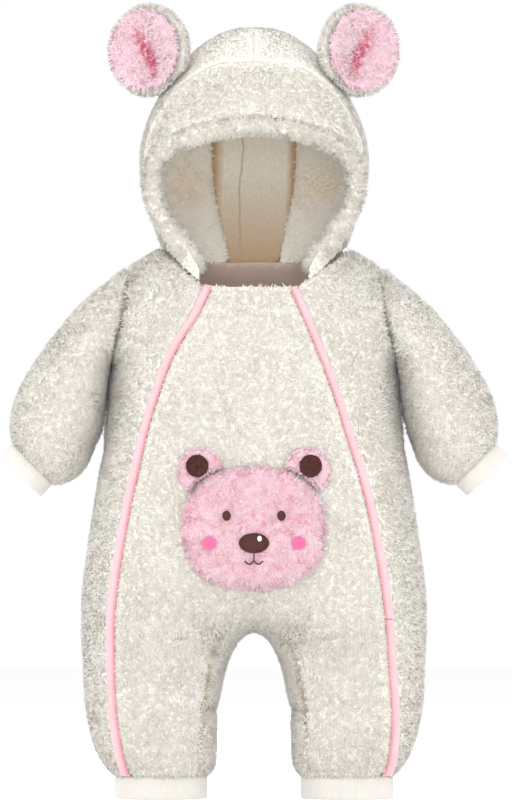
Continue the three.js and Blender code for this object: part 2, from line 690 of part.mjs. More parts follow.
// The rolled rim round the face
function hoodFrontY(x, z) {
  const [half, front, middle] = ["half", "front", "middle"].map((c) => lookup(HOOD, "z", c, z));
  const share = Math.min(Math.abs(x) / half, 0.98);
  return middle - front * (1 - share ** HOOD_FRONT_FULLNESS) ** (1 / HOOD_FRONT_FULLNESS);
}
function rimPath() {
  const line = faceOutline(RIM_RADIUS).filter((p) => p.y > RIM_FOOT_Z);
  const points = line.map((p) =>
    new THREE.Vector3(p.x, hoodFrontY(p.x, p.y) + RIM_RADIUS * RIM_SET_BACK - RIM_PROUD, p.y),
  );
  return new THREE.CatmullRomCurve3(points);
}
function rimSolid(radius) {
  const path = rimPath();
  const [steps, around] = [32, 9];
  const rings = [];
  for (let k = 0; k <= steps; k += 1) {
    const [p, along] = [path.getPointAt(k / steps), path.getTangentAt(k / steps)];
    const ahead = new THREE.Vector3(0, -1, 0);
    const out = along.clone().cross(ahead).normalize();
    const up = out.clone().cross(along).normalize();
    const ring = [];
    for (let m = 0; m < around; m += 1) {
      const turn = (2 * Math.PI * m) / around;
      ring.push(p.clone().addScaledVector(out, radius * Math.cos(turn))
        .addScaledVector(up, radius * Math.sin(turn)));
    }
    rings.push(ring);
  }
  return loft(rings);
}

const bodyWalls = ["front_panel", "side_panel_right", "side_panel_left", "zip_right",
  "zip_left_upper", "back_panel"].map((name) => solids[name]);
solids.hood_rim = clearOf(rimSolid(RIM_RADIUS), bodyWalls, [UP, FORWARD, BACKWARD]);
const rimSpace = rimSolid(RIM_RADIUS + GAP);
const opened = (made) => made.subtract(facePrism(RIM_RADIUS)).subtract(rimSpace);
const inHood = ({ panel }) => panel === "hood_left" || panel === "hood_right";
const leaning = (box) =>
  box.rotate([HOOD_CROSS_SEAM.lean, 0, 0]).translate([0, HOOD_CROSS_SEAM.y, HOOD_CROSS_SEAM.z]);
const ahead = leaning(slab([-FAR, -FAR, -FAR], [FAR, -GAP / 2, FAR]));
const behind = leaning(slab([-FAR, GAP / 2, -FAR], [FAR, FAR, FAR]));
solids.hood_front = largest(opened(wall(inHood, 0, PLUSH)).intersect(ahead));
for (const side of ["right", "left"]) {
  const half = opened(wall(named("hood_" + side), 0, PLUSH));
  solids["hood_back_" + side] = largest(half.intersect(behind));
}

// Lining inside the hood: two sides and a middle
const lined = slab([-FAR, LINING_FRONT_Y, -FAR], [FAR, FAR, FAR]);
for (const name of ["hood_lining_right", "hood_lining_middle", "hood_lining_left"]) {
  const piece = wall(named(name), -insideWall, insideWall + LINING);
  solids[name] = largest(piece.subtract(rimSpace).intersect(lined));
}

// Ears: a white back and a pink front, each a stuffed half
function earHalf(levels, crease) {
  const around = 18;
  const rings = levels.map(([r, y]) => {
    const ring = [];
    for (let m = 0; m < around; m += 1) {
      const turn = (2 * Math.PI * m) / around;
      const x = r * EAR.halfWidth * Math.cos(turn);
      const z = r * EAR.halfHeight * Math.sin(turn);
      const fold = Math.exp(-((x / EAR_CREASE.halfWidth) ** 2)) * (1 - r * r);
      ring.push(new THREE.Vector3(x, y + crease * fold, z));
    }
    return ring;
  });
  return loft(rings);
}
// Share of the ear's size and distance behind its middle, ring by ring
const EAR_BACK = [[0.1, 17], [0.5, 15.5], [0.8, 11], [0.96, 5], [1, -2], [0.96, -7],
  [0.88, -9], [0.5, -3.5], [0.1, -2.5]];
const EAR_FRONT = [[0.1, -3.5], [0.5, -4.5], [0.88, -9.8], [0.89, -13], [0.8, -15.5],
  [0.62, -14.5], [0.42, -11], [0.2, -9], [0.05, -8.6]];
const EAR_CREASE = { depth: 3.4, halfWidth: 11 };
for (const [side, sign] of [["right", -1], ["left", 1]]) {
  const pose = new THREE.Matrix4()
    .makeTranslation(sign * EAR.x, EAR.y, EAR.z)
    .multiply(new THREE.Matrix4().makeRotationZ(THREE.MathUtils.degToRad(sign * EAR.turn)))
    .multiply(new THREE.Matrix4().makeRotationY(THREE.MathUtils.degToRad(sign * EAR.tilt)));
  const columns = pose.toArray();
  const hood = ["hood_front", "hood_back_" + side].map((name) => solids[name]);
  const onHood = [[(sign * GAP) / Math.SQRT2, 0, GAP / Math.SQRT2]];
  const back = earHalf(EAR_BACK, EAR_CREASE.depth).transform(columns);
  const front = earHalf(EAR_FRONT, EAR_CREASE.depth).transform(columns);
  solids["ear_back_" + side] = clearOf(back, hood, onHood);
  solids["ear_front_" + side] = clearOf(front, hood, onHood);
}

// Cuffs
function ovalRing(place, across, halfAcross, halfDepth) {
  const around = 22;
  const ring = [];
  for (let m = 0; m < around; m += 1) {
    const turn = (2 * Math.PI * m) / around;
    ring.push(place.clone().addScaledVector(across, halfAcross * Math.cos(turn))
      .add(new THREE.Vector3(0, halfDepth * Math.sin(turn), 0)));
  }
  return ring;
}
function cuff(start, end, across, half, halfDepth) {
  const ring = (place, thin) => ovalRing(place, across, half - thin, halfDepth - thin);
  return loft([ring(start, 0), ring(end, 0), ring(end, RIB), ring(start, RIB)], true);
}
const LEG_CUFF = { x: 93, half: 46, halfDepth: 46.5 };
const SLEEVE_CUFF = { length: 15, half: 28.5, halfDepth: 27 };
for (const [side, sign] of [["right", -1], ["left", 1]]) {
  const hem = new THREE.Vector3(sign * LEG_CUFF.x, 0, LEG_SEAM_Z - GAP / 2);
  const foot = hem.clone().setZ(CUFF_HEM_Z);
  solids["leg_cuff_" + side] = cuff(hem, foot, new THREE.Vector3(1, 0, 0), LEG_CUFF.half,
    LEG_CUFF.halfDepth);
  const across = new THREE.Vector3(sign * (last.upperX - last.lowerX), 0,
    last.upperZ - last.lowerZ).normalize();
  const wrist = new THREE.Vector3((sign * (last.upperX + last.lowerX)) / 2, -last.forward,
    (last.upperZ + last.lowerZ) / 2).addScaledVector(wristAxis(sign), GAP / 2);
  const hand = wrist.clone().addScaledVector(wristAxis(sign), SLEEVE_CUFF.length);
  solids["sleeve_cuff_" + side] = cuff(wrist, hand, across, SLEEVE_CUFF.half,
    SLEEVE_CUFF.halfDepth);
}

// Patch on the front: each part is a loft whose rings follow the front's surface
function pad(outline, levels) {
  const around = 24;
  const rings = levels.map(([share, height]) => {
    const ring = [];
    for (let m = 0; m < around; m += 1) {
      const [x, z] = outline(share, (2 * Math.PI * m) / around);
      ring.push(new THREE.Vector3(x, -bodyDepth("front", Math.abs(x), z) - height, z));
    }
    return ring;
  });
  return loft(rings);
}
const oval = (x, z, halfX, halfZ, n) => (share, turn) => {
  const [c, s] = [Math.cos(turn), Math.sin(turn)];
  const round = (Math.abs(c) ** n + Math.abs(s) ** n) ** (-1 / n);
  return [x + share * halfX * c * round, z + share * halfZ * s * round];
};
// Share of the outline and height over the front, from the underside's middle to the top's
const stuffed = (height) => [[0.08, -1], [0.6, -1], [1, -1], [1, height * 0.4],
  [0.95, height * 0.75], [0.84, height * 0.95], [0.6, height], [0.08, height]];
const laid = (low, high) => [[0.08, low], [1, low], [1, high - 0.5], [0.9, high], [0.08, high]];
const head = oval(0, PATCH.z, PATCH.halfWidth, PATCH.halfHeight, PATCH.fullness);
solids.patch_head = clearOf(pad(head, stuffed(PATCH.height)), [solids.front_panel], [FORWARD]);
const headSpace = pad(oval(0, PATCH.z, PATCH.halfWidth + GAP, PATCH.halfHeight + GAP,
  PATCH.fullness), [[0.08, -4], [1, -4], [1, PATCH.height * 2], [0.08, PATCH.height * 2]]);
for (const [side, sign] of [["right", -1], ["left", 1]]) {
  const { x, z, radius, height } = PATCH_EAR;
  const ear = pad(oval(sign * x, z, radius, radius, 2), stuffed(height)).subtract(headSpace);
  solids["patch_ear_" + side] = clearOf(ear, [solids.front_panel], [FORWARD]);
  const inside = PATCH_EAR_INSIDE;
  solids["patch_ear_inside_" + side] = pad(
    oval(sign * inside.x, inside.z, inside.radius, inside.radius, 2),
    laid(height + GAP, height + GAP + inside.height),
  );
}
solids.patch_nose = pad(oval(0, PATCH_NOSE.z, PATCH_NOSE.halfWidth, PATCH_NOSE.halfHeight, 2),
  laid(PATCH.height + GAP, PATCH.height + GAP + PATCH_NOSE.height));

// Materials
const finish = (color, roughness) => new THREE.MeshStandardMaterial({ color, roughness, metalness: 0 });
const MATERIALS = {
  plush: finish(0xf1eee6, 0.95),
  lining: finish(0xe2d3bf, 0.9),
  rib: finish(0xefece4, 0.9),
  pinkPlush: finish(0xf2b8c2, 0.95),
  pinkBinding: finish(0xf4bcbc, 0.7),
  brownFelt: finish(0x3b1d18, 0.85),
};
const materialOf = (name) => {
  if (name.startsWith("hood_lining") || name === "neck_facing") return MATERIALS.lining;
  if (name.includes("cuff")) return MATERIALS.rib;
  if (name.startsWith("zip")) return MATERIALS.pinkBinding;
  if (name.startsWith("patch_ear_inside") || name === "patch_nose") return MATERIALS.brownFelt;
  if (name.startsWith("patch") || name.startsWith("ear_front")) return MATERIALS.pinkPlush;
  return MATERIALS.plush;
};

const snowsuit = new THREE.Group();
for (const [name, made] of Object.entries(solids)) {
  const { numProp, vertProperties, triVerts } = made.getMesh();
  const geometry = new THREE.BufferGeometry();
  const flat = [];
  for (const id of triVerts)
    flat.push(...vertProperties.slice(id * numProp, id * numProp + 3));
  geometry.setAttribute("position", new THREE.Float32BufferAttribute(flat, 3));
  geometry.computeVertexNormals();
  const mesh = new THREE.Mesh(geometry, materialOf(name));
  mesh.name = name;
  snowsuit.add(mesh);
}

export default snowsuit;
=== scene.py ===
# Looks of the baby snowsuit: plush pile, bound zips, rib cuffs, lining, ears and patch.
# Everything is in metres in the frame's own axes: +Z up, the front faces -Y, the wearer's left is +X.
import math

import bmesh
import bpy
import numpy as np
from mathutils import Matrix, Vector
from mathutils.bvhtree import BVHTree
from mathutils.kdtree import KDTree


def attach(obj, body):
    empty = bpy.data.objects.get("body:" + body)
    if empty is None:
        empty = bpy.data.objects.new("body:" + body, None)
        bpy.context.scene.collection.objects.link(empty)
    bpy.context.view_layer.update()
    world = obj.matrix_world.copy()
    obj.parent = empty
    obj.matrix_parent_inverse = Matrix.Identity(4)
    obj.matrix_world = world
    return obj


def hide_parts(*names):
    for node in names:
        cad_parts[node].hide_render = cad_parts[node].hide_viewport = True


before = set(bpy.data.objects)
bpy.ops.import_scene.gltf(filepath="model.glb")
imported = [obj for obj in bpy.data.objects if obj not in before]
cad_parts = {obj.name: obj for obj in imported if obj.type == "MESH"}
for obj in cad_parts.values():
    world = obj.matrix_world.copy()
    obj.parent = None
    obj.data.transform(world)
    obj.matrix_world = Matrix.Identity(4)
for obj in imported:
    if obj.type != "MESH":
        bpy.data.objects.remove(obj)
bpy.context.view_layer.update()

MM = 0.001
SIDES = (("right", -1), ("left", 1))

# Plush, measured inwards from where the pile ends
PILE_ROOT = 3.1 * MM
BACKING_UNDER = 4.7 * MM
TUFT_SPACING = 1.66 * MM
BACK_TUFT_SPACING = 1.9 * MM
TUFT_RADIUS = 1.1 * MM
CLUMP_SPACING = 3.2 * MM

# Camera: the photo's frame is 0.512 m by 0.8 m in the plane of the side seams
VIEW_HEIGHT = 0.8
VIEW_CENTRE = (0.002, -0.138)
CAMERA_AWAY = 8.0
FLOOR_Z = -0.575


# Small numeric helpers
def unit(v):
    return v / np.maximum(np.linalg.norm(v, axis=-1, keepdims=True), 1e-12)


def smooth(t):
    s = np.clip(t, 0, 1)
    return s * s * (3 - 2 * s)


LATTICE = 32
LATTICES = [np.random.default_rng(seed).random((LATTICE,) * 3) * 2 - 1 for seed in range(8)]


def noise(points, size, which):
    """Smooth noise from -1 to 1 at points, with features about size across."""
    place = points / size
    cell = np.floor(place).astype(int)
    share = smooth(place - cell)
    values = LATTICES[which]
    total = np.zeros(len(points))
    for corner in np.ndindex(2, 2, 2):
        at = (cell + corner) % LATTICE
        weight = np.prod(np.where(corner, share, 1 - share), axis=1)
        total += weight * values[at[:, 0], at[:, 1], at[:, 2]]
    return total


def swirl(points, size, which):
    return np.stack([noise(points, size, (which + k) % len(LATTICES)) for k in range(3)], axis=1)


def tree_of(points):
    tree = KDTree(len(points))
    for index, point in enumerate(points):
        tree.insert(point, index)
    tree.balance()
    return tree


def nearest(tree, points):
    found = [tree.find(p) for p in points]
    return np.array([f[1] for f in found]), np.array([f[2] for f in found])


# Surfaces from the frame's nodes
WELD = 0.01 * MM
SMOOTH_BEND = math.radians(45)


def welded(name):
    """Points and triangles of a node, with its shared corners joined."""
    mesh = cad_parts[name].data
    mesh.calc_loop_triangles()
    points = np.empty(len(mesh.vertices) * 3, np.float32)
    triangles = np.empty(len(mesh.loop_triangles) * 3, np.int32)
    mesh.vertices.foreach_get("co", points)
    mesh.loop_triangles.foreach_get("vertices", triangles)
    points = points.reshape(-1, 3).astype(float)
    keys = np.round(points / WELD).astype(np.int64)
    _, first, place = np.unique(keys, axis=0, return_index=True, return_inverse=True)
    triangles = place.reshape(-1)[triangles].reshape(-1, 3)
    distinct = [triangles[:, k] != triangles[:, (k + 1) % 3] for k in range(3)]
    return points[first], triangles[np.all(distinct, axis=0)]


def face_normals(points, triangles):
    a, b, c = (points[triangles[:, k]] for k in range(3))
    return np.cross(b - a, c - a)


# Lines inside the suit, from which its walls face outwards, in millimetres
TORSO = ((0, 0, -60), (0, 0, -300))
LEGS = [((sign * 93, 0, -400), (sign * 93, 0, -515)) for _, sign in SIDES]
ARMS = [((sign * 150, 0, -70), (sign * 215, -10, -195)) for _, sign in SIDES]
HEAD = ((0, 10, 50), (0, 10, 150))


def inner_lines(name):
    if "sleeve" in name:
        return ARMS
    if "hood" in name:
        return [HEAD]
    return [TORSO, *LEGS]


def from_inside(name, points):
    """Directions from the nearest of a node's inner lines to the points."""
    best = np.full(len(points), np.inf)
    ways = np.zeros_like(points)
    for start, end in inner_lines(name):
        a, b = np.array(start) * MM, np.array(end) * MM
        along = np.clip((points - a) @ (b - a) / ((b - a) @ (b - a)), 0, 1)
        way = points - a - along[:, None] * (b - a)
        far = np.linalg.norm(way, axis=1)
        nearer = far < best
        best[nearer] = far[nearer]
        ways[nearer] = way[nearer]
    return unit(ways)


def one_face(name, outer):
    """The outer or inner face of a node's wall, without its edges."""
    points, triangles = welded(name)
    sized = face_normals(points, triangles)
    normals = unit(sized)
    links = [[] for _ in triangles]
    seen = {}
    for face, corners in enumerate(triangles.tolist()):
        for k in range(3):
            key = tuple(sorted((corners[k], corners[(k + 1) % 3])))
            other = seen.setdefault(key, face)
            if other != face and normals[face] @ normals[other] > math.cos(SMOOTH_BEND):
                links[face].append(other)
                links[other].append(face)
    facing = (normals * from_inside(name, points[triangles].mean(1))).sum(1)
    size = np.linalg.norm(sized, axis=1)
    best, chosen = -1, None
    left = set(range(len(triangles)))
    while left:
        patch, todo = [], [left.pop()]
        while todo:
            face = todo.pop()
            patch.append(face)
            for other in links[face]:
                if other in left:
                    left.remove(other)
                    todo.append(other)
        score = (facing[patch] * size[patch]).sum() * (1 if outer else -1)
        if score > best:
            best, chosen = score, patch
    used, place = np.unique(triangles[chosen], return_inverse=True)
    return points[used], place.reshape(-1, 3)


class Surface:
    """A fine surface: points, quads, normals, and its open edges with the way out of each."""

    def __init__(self, points, quads, normals):
        self.points, self.quads, self.normals = points, quads, normals
        edges = np.concatenate([quads[:, [k, (k + 1) % 4]] for k in range(4)])
        _, first, count = np.unique(np.sort(edges, axis=1), axis=0, return_index=True, return_counts=True)
        self.rim = edges[first[count == 1]]

    def rim_points(self):
        return np.unique(self.rim)

    def way_out(self):
        """Middle of each open edge, and the direction away from the surface there."""
        a, b = self.points[self.rim[:, 0]], self.points[self.rim[:, 1]]
        normal = self.normals[self.rim].mean(1)
        return (a + b) / 2, unit(np.cross(b - a, normal))


JOIN_BEND = math.radians(40)
JOIN_SHAPE = math.radians(60)


def refined(points, triangles, levels):
    """A smooth surface of quads through a faceted one."""
    rough = bmesh.new()
    corners = [rough.verts.new(p) for p in points]
    for t in triangles:
        rough.faces.new([corners[k] for k in t])
    bmesh.ops.join_triangles(rough, faces=rough.faces[:], angle_face_threshold=JOIN_BEND,
                             angle_shape_threshold=JOIN_SHAPE)
    mesh = bpy.data.meshes.new("rough")
    rough.to_mesh(mesh)
    rough.free()
    holder = bpy.data.objects.new("rough", mesh)
    bpy.context.scene.collection.objects.link(holder)
    finer = holder.modifiers.new("finer", "SUBSURF")
    finer.levels = finer.render_levels = levels
    finer.boundary_smooth = "PRESERVE_CORNERS"
    shown = holder.evaluated_get(bpy.context.evaluated_depsgraph_get())
    made = shown.to_mesh()
    fine = np.empty(len(made.vertices) * 3, np.float32)
    normals = np.empty(len(made.vertices) * 3, np.float32)
    quads = np.empty(len(made.loops), np.int32)
    made.vertices.foreach_get("co", fine)
    made.vertex_normals.foreach_get("vector", normals)
    made.loops.foreach_get("vertex_index", quads)
    shown.to_mesh_clear()
    bpy.data.objects.remove(holder)
    bpy.data.meshes.remove(mesh)
    return Surface(fine.reshape(-1, 3).astype(float), quads.reshape(-1, 4),
                   unit(normals.reshape(-1, 3).astype(float)))


SEAM_REACH = 1.4 * MM


def match_seams(surfaces):
    """Neighbouring panels get one normal where they meet, so that they turn over a seam alike."""
    places = [(s, i) for s in surfaces for i in s.rim_points()]
    points = [s.points[i] for s, i in places]
    normals = np.array([s.normals[i] for s, i in places])
    tree = tree_of(points)
    shared = [unit(normals[[f[1] for f in tree.find_range(p, SEAM_REACH)]].sum(0)) for p in points]
    for (s, i), normal in zip(places, shared):
        s.normals[i] = normal


# Pieces
def piece(name, mesh, material, replaces=()):
    made = bpy.data.objects.new(name, mesh)
    bpy.context.scene.collection.objects.link(made)
    mesh.materials.append(material)
    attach(made, "root")
    if replaces:
        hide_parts(*replaces)
    return made


def mesh_of(name, points, faces):
    mesh = bpy.data.meshes.new(name)
    mesh.from_pydata([tuple(p) for p in points], [], [tuple(int(k) for k in f) for f in faces])
    mesh.update()
    mesh.shade_smooth()
    return mesh


def wall_mesh(name, surface, top, under):
    """A closed wall between two depths below a surface."""
    count = len(surface.points)
    upper = surface.points - surface.normals * top
    lower = surface.points - surface.normals * under
    a, b = surface.rim[:, 0], surface.rim[:, 1]
    sides = np.stack([a, a + count, b + count, b], axis=1)
    faces = np.concatenate([surface.quads, surface.quads[:, ::-1] + count, sides])
    return mesh_of(name, np.concatenate([upper, lower]), faces)


# Pile
GOLDEN_PLANE = (0.7548776662, 0.5698402910)  # steps that fill a triangle evenly


def scatter(surface, spacing):
    """Points and normals spread evenly over a surface."""
    quads = surface.quads
    triangles = np.concatenate([quads[:, :3], quads[:, [0, 2, 3]]])
    order = np.argsort(np.tile(np.arange(len(quads)), 2), kind="stable")
    triangles = triangles[order]
    sizes = np.linalg.norm(face_normals(surface.points, triangles), axis=1) / 2
    reach = np.cumsum(sizes)
    count = max(int(reach[-1] / spacing**2), 1)
    face = np.searchsorted(reach, (np.arange(count) + 0.5) / count * reach[-1])
    face = np.minimum(face, len(triangles) - 1)
    steps = np.arange(count)[:, None] * GOLDEN_PLANE + 0.5
    across, along = (steps % 1).T
    root = np.sqrt(across)
    shares = np.stack([1 - root, root * (1 - along), root * along], axis=1)[:, :, None]
    chosen = triangles[face]
    points = (surface.points[chosen] * shares).sum(1)
    normals = unit((surface.normals[chosen] * shares).sum(1))
    return points, normals


def tangent(vectors, normals):
    return unit(vectors - (vectors * normals).sum(1, keepdims=True) * normals)


FINE_CURL = 0.6
LOOSE = 0.7
LEAN_SPREAD = 10  # degrees
HEIGHT_SPREAD = 0.16


def lay(points, normals, pile, style, rng):
    """Ends of tufts that grow from points: they lean down the suit and curl."""
    down = np.array([0, 0, -1.0])
    curl = swirl(points, style["curl"], 0) * style["curled"] + swirl(points, style["curl"] / 3, 3) * FINE_CURL
    loose = rng.normal(size=points.shape) * LOOSE
    way = tangent(down * style["combed"] + curl + loose, normals)
    lean = style["lean"] + LEAN_SPREAD * rng.normal(size=len(points)).clip(-2, 1.5)
    height = pile[:, None] * (1 + HEIGHT_SPREAD * rng.normal(size=(len(points), 1)).clip(-2, 2))
    return points + normals * height + way * height * np.tan(np.radians(lean)[:, None])


# curl: size of the swirls; curled and combed: how far tufts follow them and hang down; lean: in
# degrees; pull: how far a tuft bends to the end of its lock; seam: share lost at a seam; over: how
# far the last tufts lean across it; locks: the width of a lock; shaped: whether LONGER and CROWN apply
PLUSH_STYLE = {"curl": 6.5 * MM, "curled": 0.6, "combed": 0.35, "lean": 46, "pull": 0.2, "seam": 0.15,
               "over": 0.8, "locks": CLUMP_SPACING, "shaped": False}
HOOD_STYLE = {**PLUSH_STYLE, "seam": 0.6, "over": 0.3}
CROWN_STYLE = {**HOOD_STYLE, "curled": 0.5, "combed": 1.0, "lean": 60, "pull": 0.1}
CROWN_PILE = 0.7 * PILE_ROOT
SEAM_SHADE = 6 * MM
SEAM_LEAN = 3.5 * MM

# Where the pile is longer, on both sides: x, z, reach in millimetres and the share it gains
LONGER = [
    (146, -108, 12, 0.7),
    (146, -128, 12, 0.9),
    (147, -148, 12, 0.9),
    (148, -168, 12, 0.7),
    (38, -371, 13, 1.3),
    (127, -12, 11, 0.9),
    (130, -35, 10, 0.7),
    (136, -60, 10, 0.7),
    (142, -85, 10, 0.7),
    (91, 24, 10, 0.9),
]

# The crown's pile is short: from one height to the other it loses this share
CROWN = {"from": 150 * MM, "to": 195 * MM, "loses": 0.45}


def longer(points):
    flat = np.stack([abs(points[:, 0]), points[:, 2]], axis=1) / MM
    total = 1 - CROWN["loses"] * smooth((points[:, 2] - CROWN["from"]) / (CROWN["to"] - CROWN["from"]))
    for x, z, reach, share in LONGER:
        total += share * np.exp(-(((flat - (x, z)) ** 2).sum(1) / reach**2))
    return total


PILE_UNEVEN = 0.12
PILE_UNEVEN_SIZE = 22 * MM
LOCK_LONGER = 1.05
LOCK_PULL_SPREAD = 0.3
TUFT_SUNK = 0.4 * MM
SIDE_ROUND = 0.35
TIP_ROUND = 0.3
SHADE_SPREAD = 0.1


def tuft_mesh(name, corners, ends, normals, shades):
    """Open pyramids: lists of three corners, ends, the normals of all four and one shade for each."""
    count = len(ends)
    vertices = np.stack([*corners, ends], axis=1).reshape(-1, 3)
    base = (np.arange(count) * 4)[:, None]
    loops = np.concatenate([base + np.array([k, (k + 1) % 3, 3]) for k in range(3)], axis=1)
    loops = loops.reshape(-1)
    mesh = bpy.data.meshes.new(name)
    mesh.vertices.add(len(vertices))
    mesh.vertices.foreach_set("co", vertices.astype(np.float32).reshape(-1))
    mesh.loops.add(len(loops))
    mesh.loops.foreach_set("vertex_index", loops.astype(np.int32))
    mesh.polygons.add(len(loops) // 3)
    mesh.polygons.foreach_set("loop_start", np.arange(0, len(loops), 3, dtype=np.int32))
    mesh.update(calc_edges=True)
    # The map isn't a place on the cloth: across it is the tuft's shade, and up it is root to tip, the root
    # darker with painted shade
    across = np.repeat(shades, 9)
    up = np.tile([0.03, 0.03, 0.97], 3 * count)
    layer = mesh.uv_layers.new(name="OFBake")
    layer.data.foreach_set("uv", np.stack([across, up], axis=1).astype(np.float32).reshape(-1))
    mesh.shade_smooth()
    vertex_normals = np.stack(normals, axis=1).reshape(-1, 3)
    mesh.normals_split_custom_set_from_vertices(vertex_normals.astype(np.float32))
    return mesh


def fur_mesh(name, surface, depth, pile, spacing, radius, style, tone, seed, keep=None):
    """Three-sided tufts on a surface. Each leans towards the end of its own lock."""
    rng = np.random.default_rng(seed)
    points, normals = scatter(surface, spacing)
    if keep is not None:
        kept = keep(points, normals)
        points, normals = points[kept], normals[kept]
    count = len(points)
    lock_points, lock_normals = scatter(surface, style["locks"])
    edges = tree_of(surface.way_out()[0]) if len(surface.rim) else None

    def heights(at):
        uneven = 1 + PILE_UNEVEN * noise(at, PILE_UNEVEN_SIZE, 5)
        grown = pile * uneven * (longer(at) if style["shaped"] else 1)
        if edges:
            grown *= 1 - style["seam"] * np.exp(-((nearest(edges, at)[1] / SEAM_SHADE) ** 2))
        return grown

    roots = points - normals * depth
    lock_roots = lock_points - lock_normals * depth
    ends = lay(roots, normals, heights(points), style, rng)
    lock_ends = lay(lock_roots, lock_normals, heights(lock_points) * LOCK_LONGER, style, rng)
    lock, away = nearest(tree_of(lock_points), points)
    pull = style["pull"] + LOCK_PULL_SPREAD * rng.random((count, 1))
    ends = ends + (lock_ends[lock] - ends) * pull * (away[:, None] < 2 * style["locks"])
    if edges:
        edge, far = nearest(edges, points)
        over = np.exp(-((far / SEAM_LEAN) ** 2))[:, None] * style["over"] * pile
        ends = ends + surface.way_out()[1][edge] * over
    first = tangent(rng.normal(size=points.shape), normals)
    second = np.cross(normals, first)
    corners = []
    soft = []
    for k in range(3):
        turn = 2 * math.pi * k / 3
        radial = first * math.cos(turn) + second * math.sin(turn)
        size = radius * (0.8 + 0.4 * rng.random((count, 1)))
        corners.append(roots - normals * TUFT_SUNK + radial * size)
        soft.append(unit(normals + radial * SIDE_ROUND))
    soft.append(unit(normals + unit(ends - roots) * TIP_ROUND))
    shades = np.clip(tone(points, normals) + SHADE_SPREAD * rng.normal(size=count), 0.02, 0.98)
    return tuft_mesh(name, corners, ends, soft, shades)


# Seams on the front of the inner legs, on both sides, drawn as lines of painted shade: x and z in millimetres
INNER_SEAM = [(36, -378), (43, -412), (49, -446), (52, -505)]
CROSS_SEAM = [(38, -446), (49, -446)]
SEAM_SHADE_LINE_WIDTH = 2.4  # millimetres


def line_distance(points, line):
    """Distance from a line of (x, z) places and its mirror image, in millimetres."""
    flat = np.stack([abs(points[:, 0]), points[:, 2]], axis=1) / MM
    best = np.full(len(points), np.inf)
    for start, end in zip(np.array(line[:-1], float), np.array(line[1:], float)):
        along = np.clip((flat - start) @ (end - start) / ((end - start) @ (end - start)), 0, 1)
        best = np.minimum(best, np.linalg.norm(flat - start - along[:, None] * (end - start), axis=1))
    return best


# Tone of the white pile: random over the cloth, and darker along the inner leg seams as painted shade
def white_tone(points, normals):
    seam_shade_line = np.minimum(line_distance(points, INNER_SEAM), line_distance(points, CROSS_SEAM))
    broken = 0.75 + 0.35 * noise(points, 9 * MM, 3)
    seam_shade_line = np.exp(-((seam_shade_line / SEAM_SHADE_LINE_WIDTH) ** 2)) * (points[:, 1] < 0) * broken
    return 0.64 + 0.1 * noise(points, 26 * MM, 1) + 0.16 * noise(points, 5 * MM, 2) - 0.7 * seam_shade_line


# Materials
def new_material(name):
    material = bpy.data.materials.new(name)
    material.use_nodes = True
    nodes = material.node_tree.nodes
    return material, nodes, material.node_tree.links, nodes["Principled BSDF"]


def srgb(r, g, b):
    """An 8-bit colour as Blender's linear one."""
    values = [v / 255 for v in (r, g, b)]
    return [v / 12.92 if v <= 0.04045 else ((v + 0.055) / 1.055) ** 2.4 for v in values] + [1]


def ramp(nodes, stops):
    made = nodes.new("ShaderNodeValToRGB")
    elements = made.color_ramp.elements
    while len(elements) < len(stops):
        elements.new(0.5)
    for element, (at, colour) in zip(elements, stops):
        element.position = at
        element.color = colour
    return made


def mixed(nodes, links, kind, factor, first, second):
    made = nodes.new("ShaderNodeMix")
    made.data_type = "RGBA"
    made.blend_type = kind
    for socket, value in ((0, factor), (6, first), (7, second)):
        if hasattr(value, "links"):
            links.new(value, made.inputs[socket])
        else:
            made.inputs[socket].default_value = value
    return made.outputs[2]


def pile_material(name, root, middle, tip, other, seam=None, sheen=0.25):
    """Tufts: darker at the root, which is painted shade, and from one shade to the other over the cloth."""
    material, nodes, links, shader = new_material(name)
    place = nodes.new("ShaderNodeUVMap")
    place.uv_map = "OFBake"
    parts = nodes.new("ShaderNodeSeparateXYZ")
    links.new(place.outputs[0], parts.inputs[0])
    # Root to tip: the darker root is painted shade among the tufts
    along = ramp(nodes, [(0.0, srgb(*root)), (0.45, srgb(*middle)), (1.0, srgb(*tip))])
    links.new(parts.outputs[1], along.inputs[0])
    # The lowest tone takes the seam colour, the painted shade along seams
    over = ramp(nodes, [(0.0, srgb(*(seam or other))), (0.22, srgb(*other)), (0.75, (1, 1, 1, 1))])
    links.new(parts.outputs[0], over.inputs[0])
    colour = mixed(nodes, links, "MULTIPLY", 1.0, along.outputs[0], over.outputs[0])
    links.new(colour, shader.inputs["Base Color"])
    shader.inputs["Roughness"].default_value = 0.9
    shader.inputs["Specular IOR Level"].default_value = 0.2
    shader.inputs["Sheen Weight"].default_value = sheen
    shader.inputs["Sheen Roughness"].default_value = 0.5
    return material


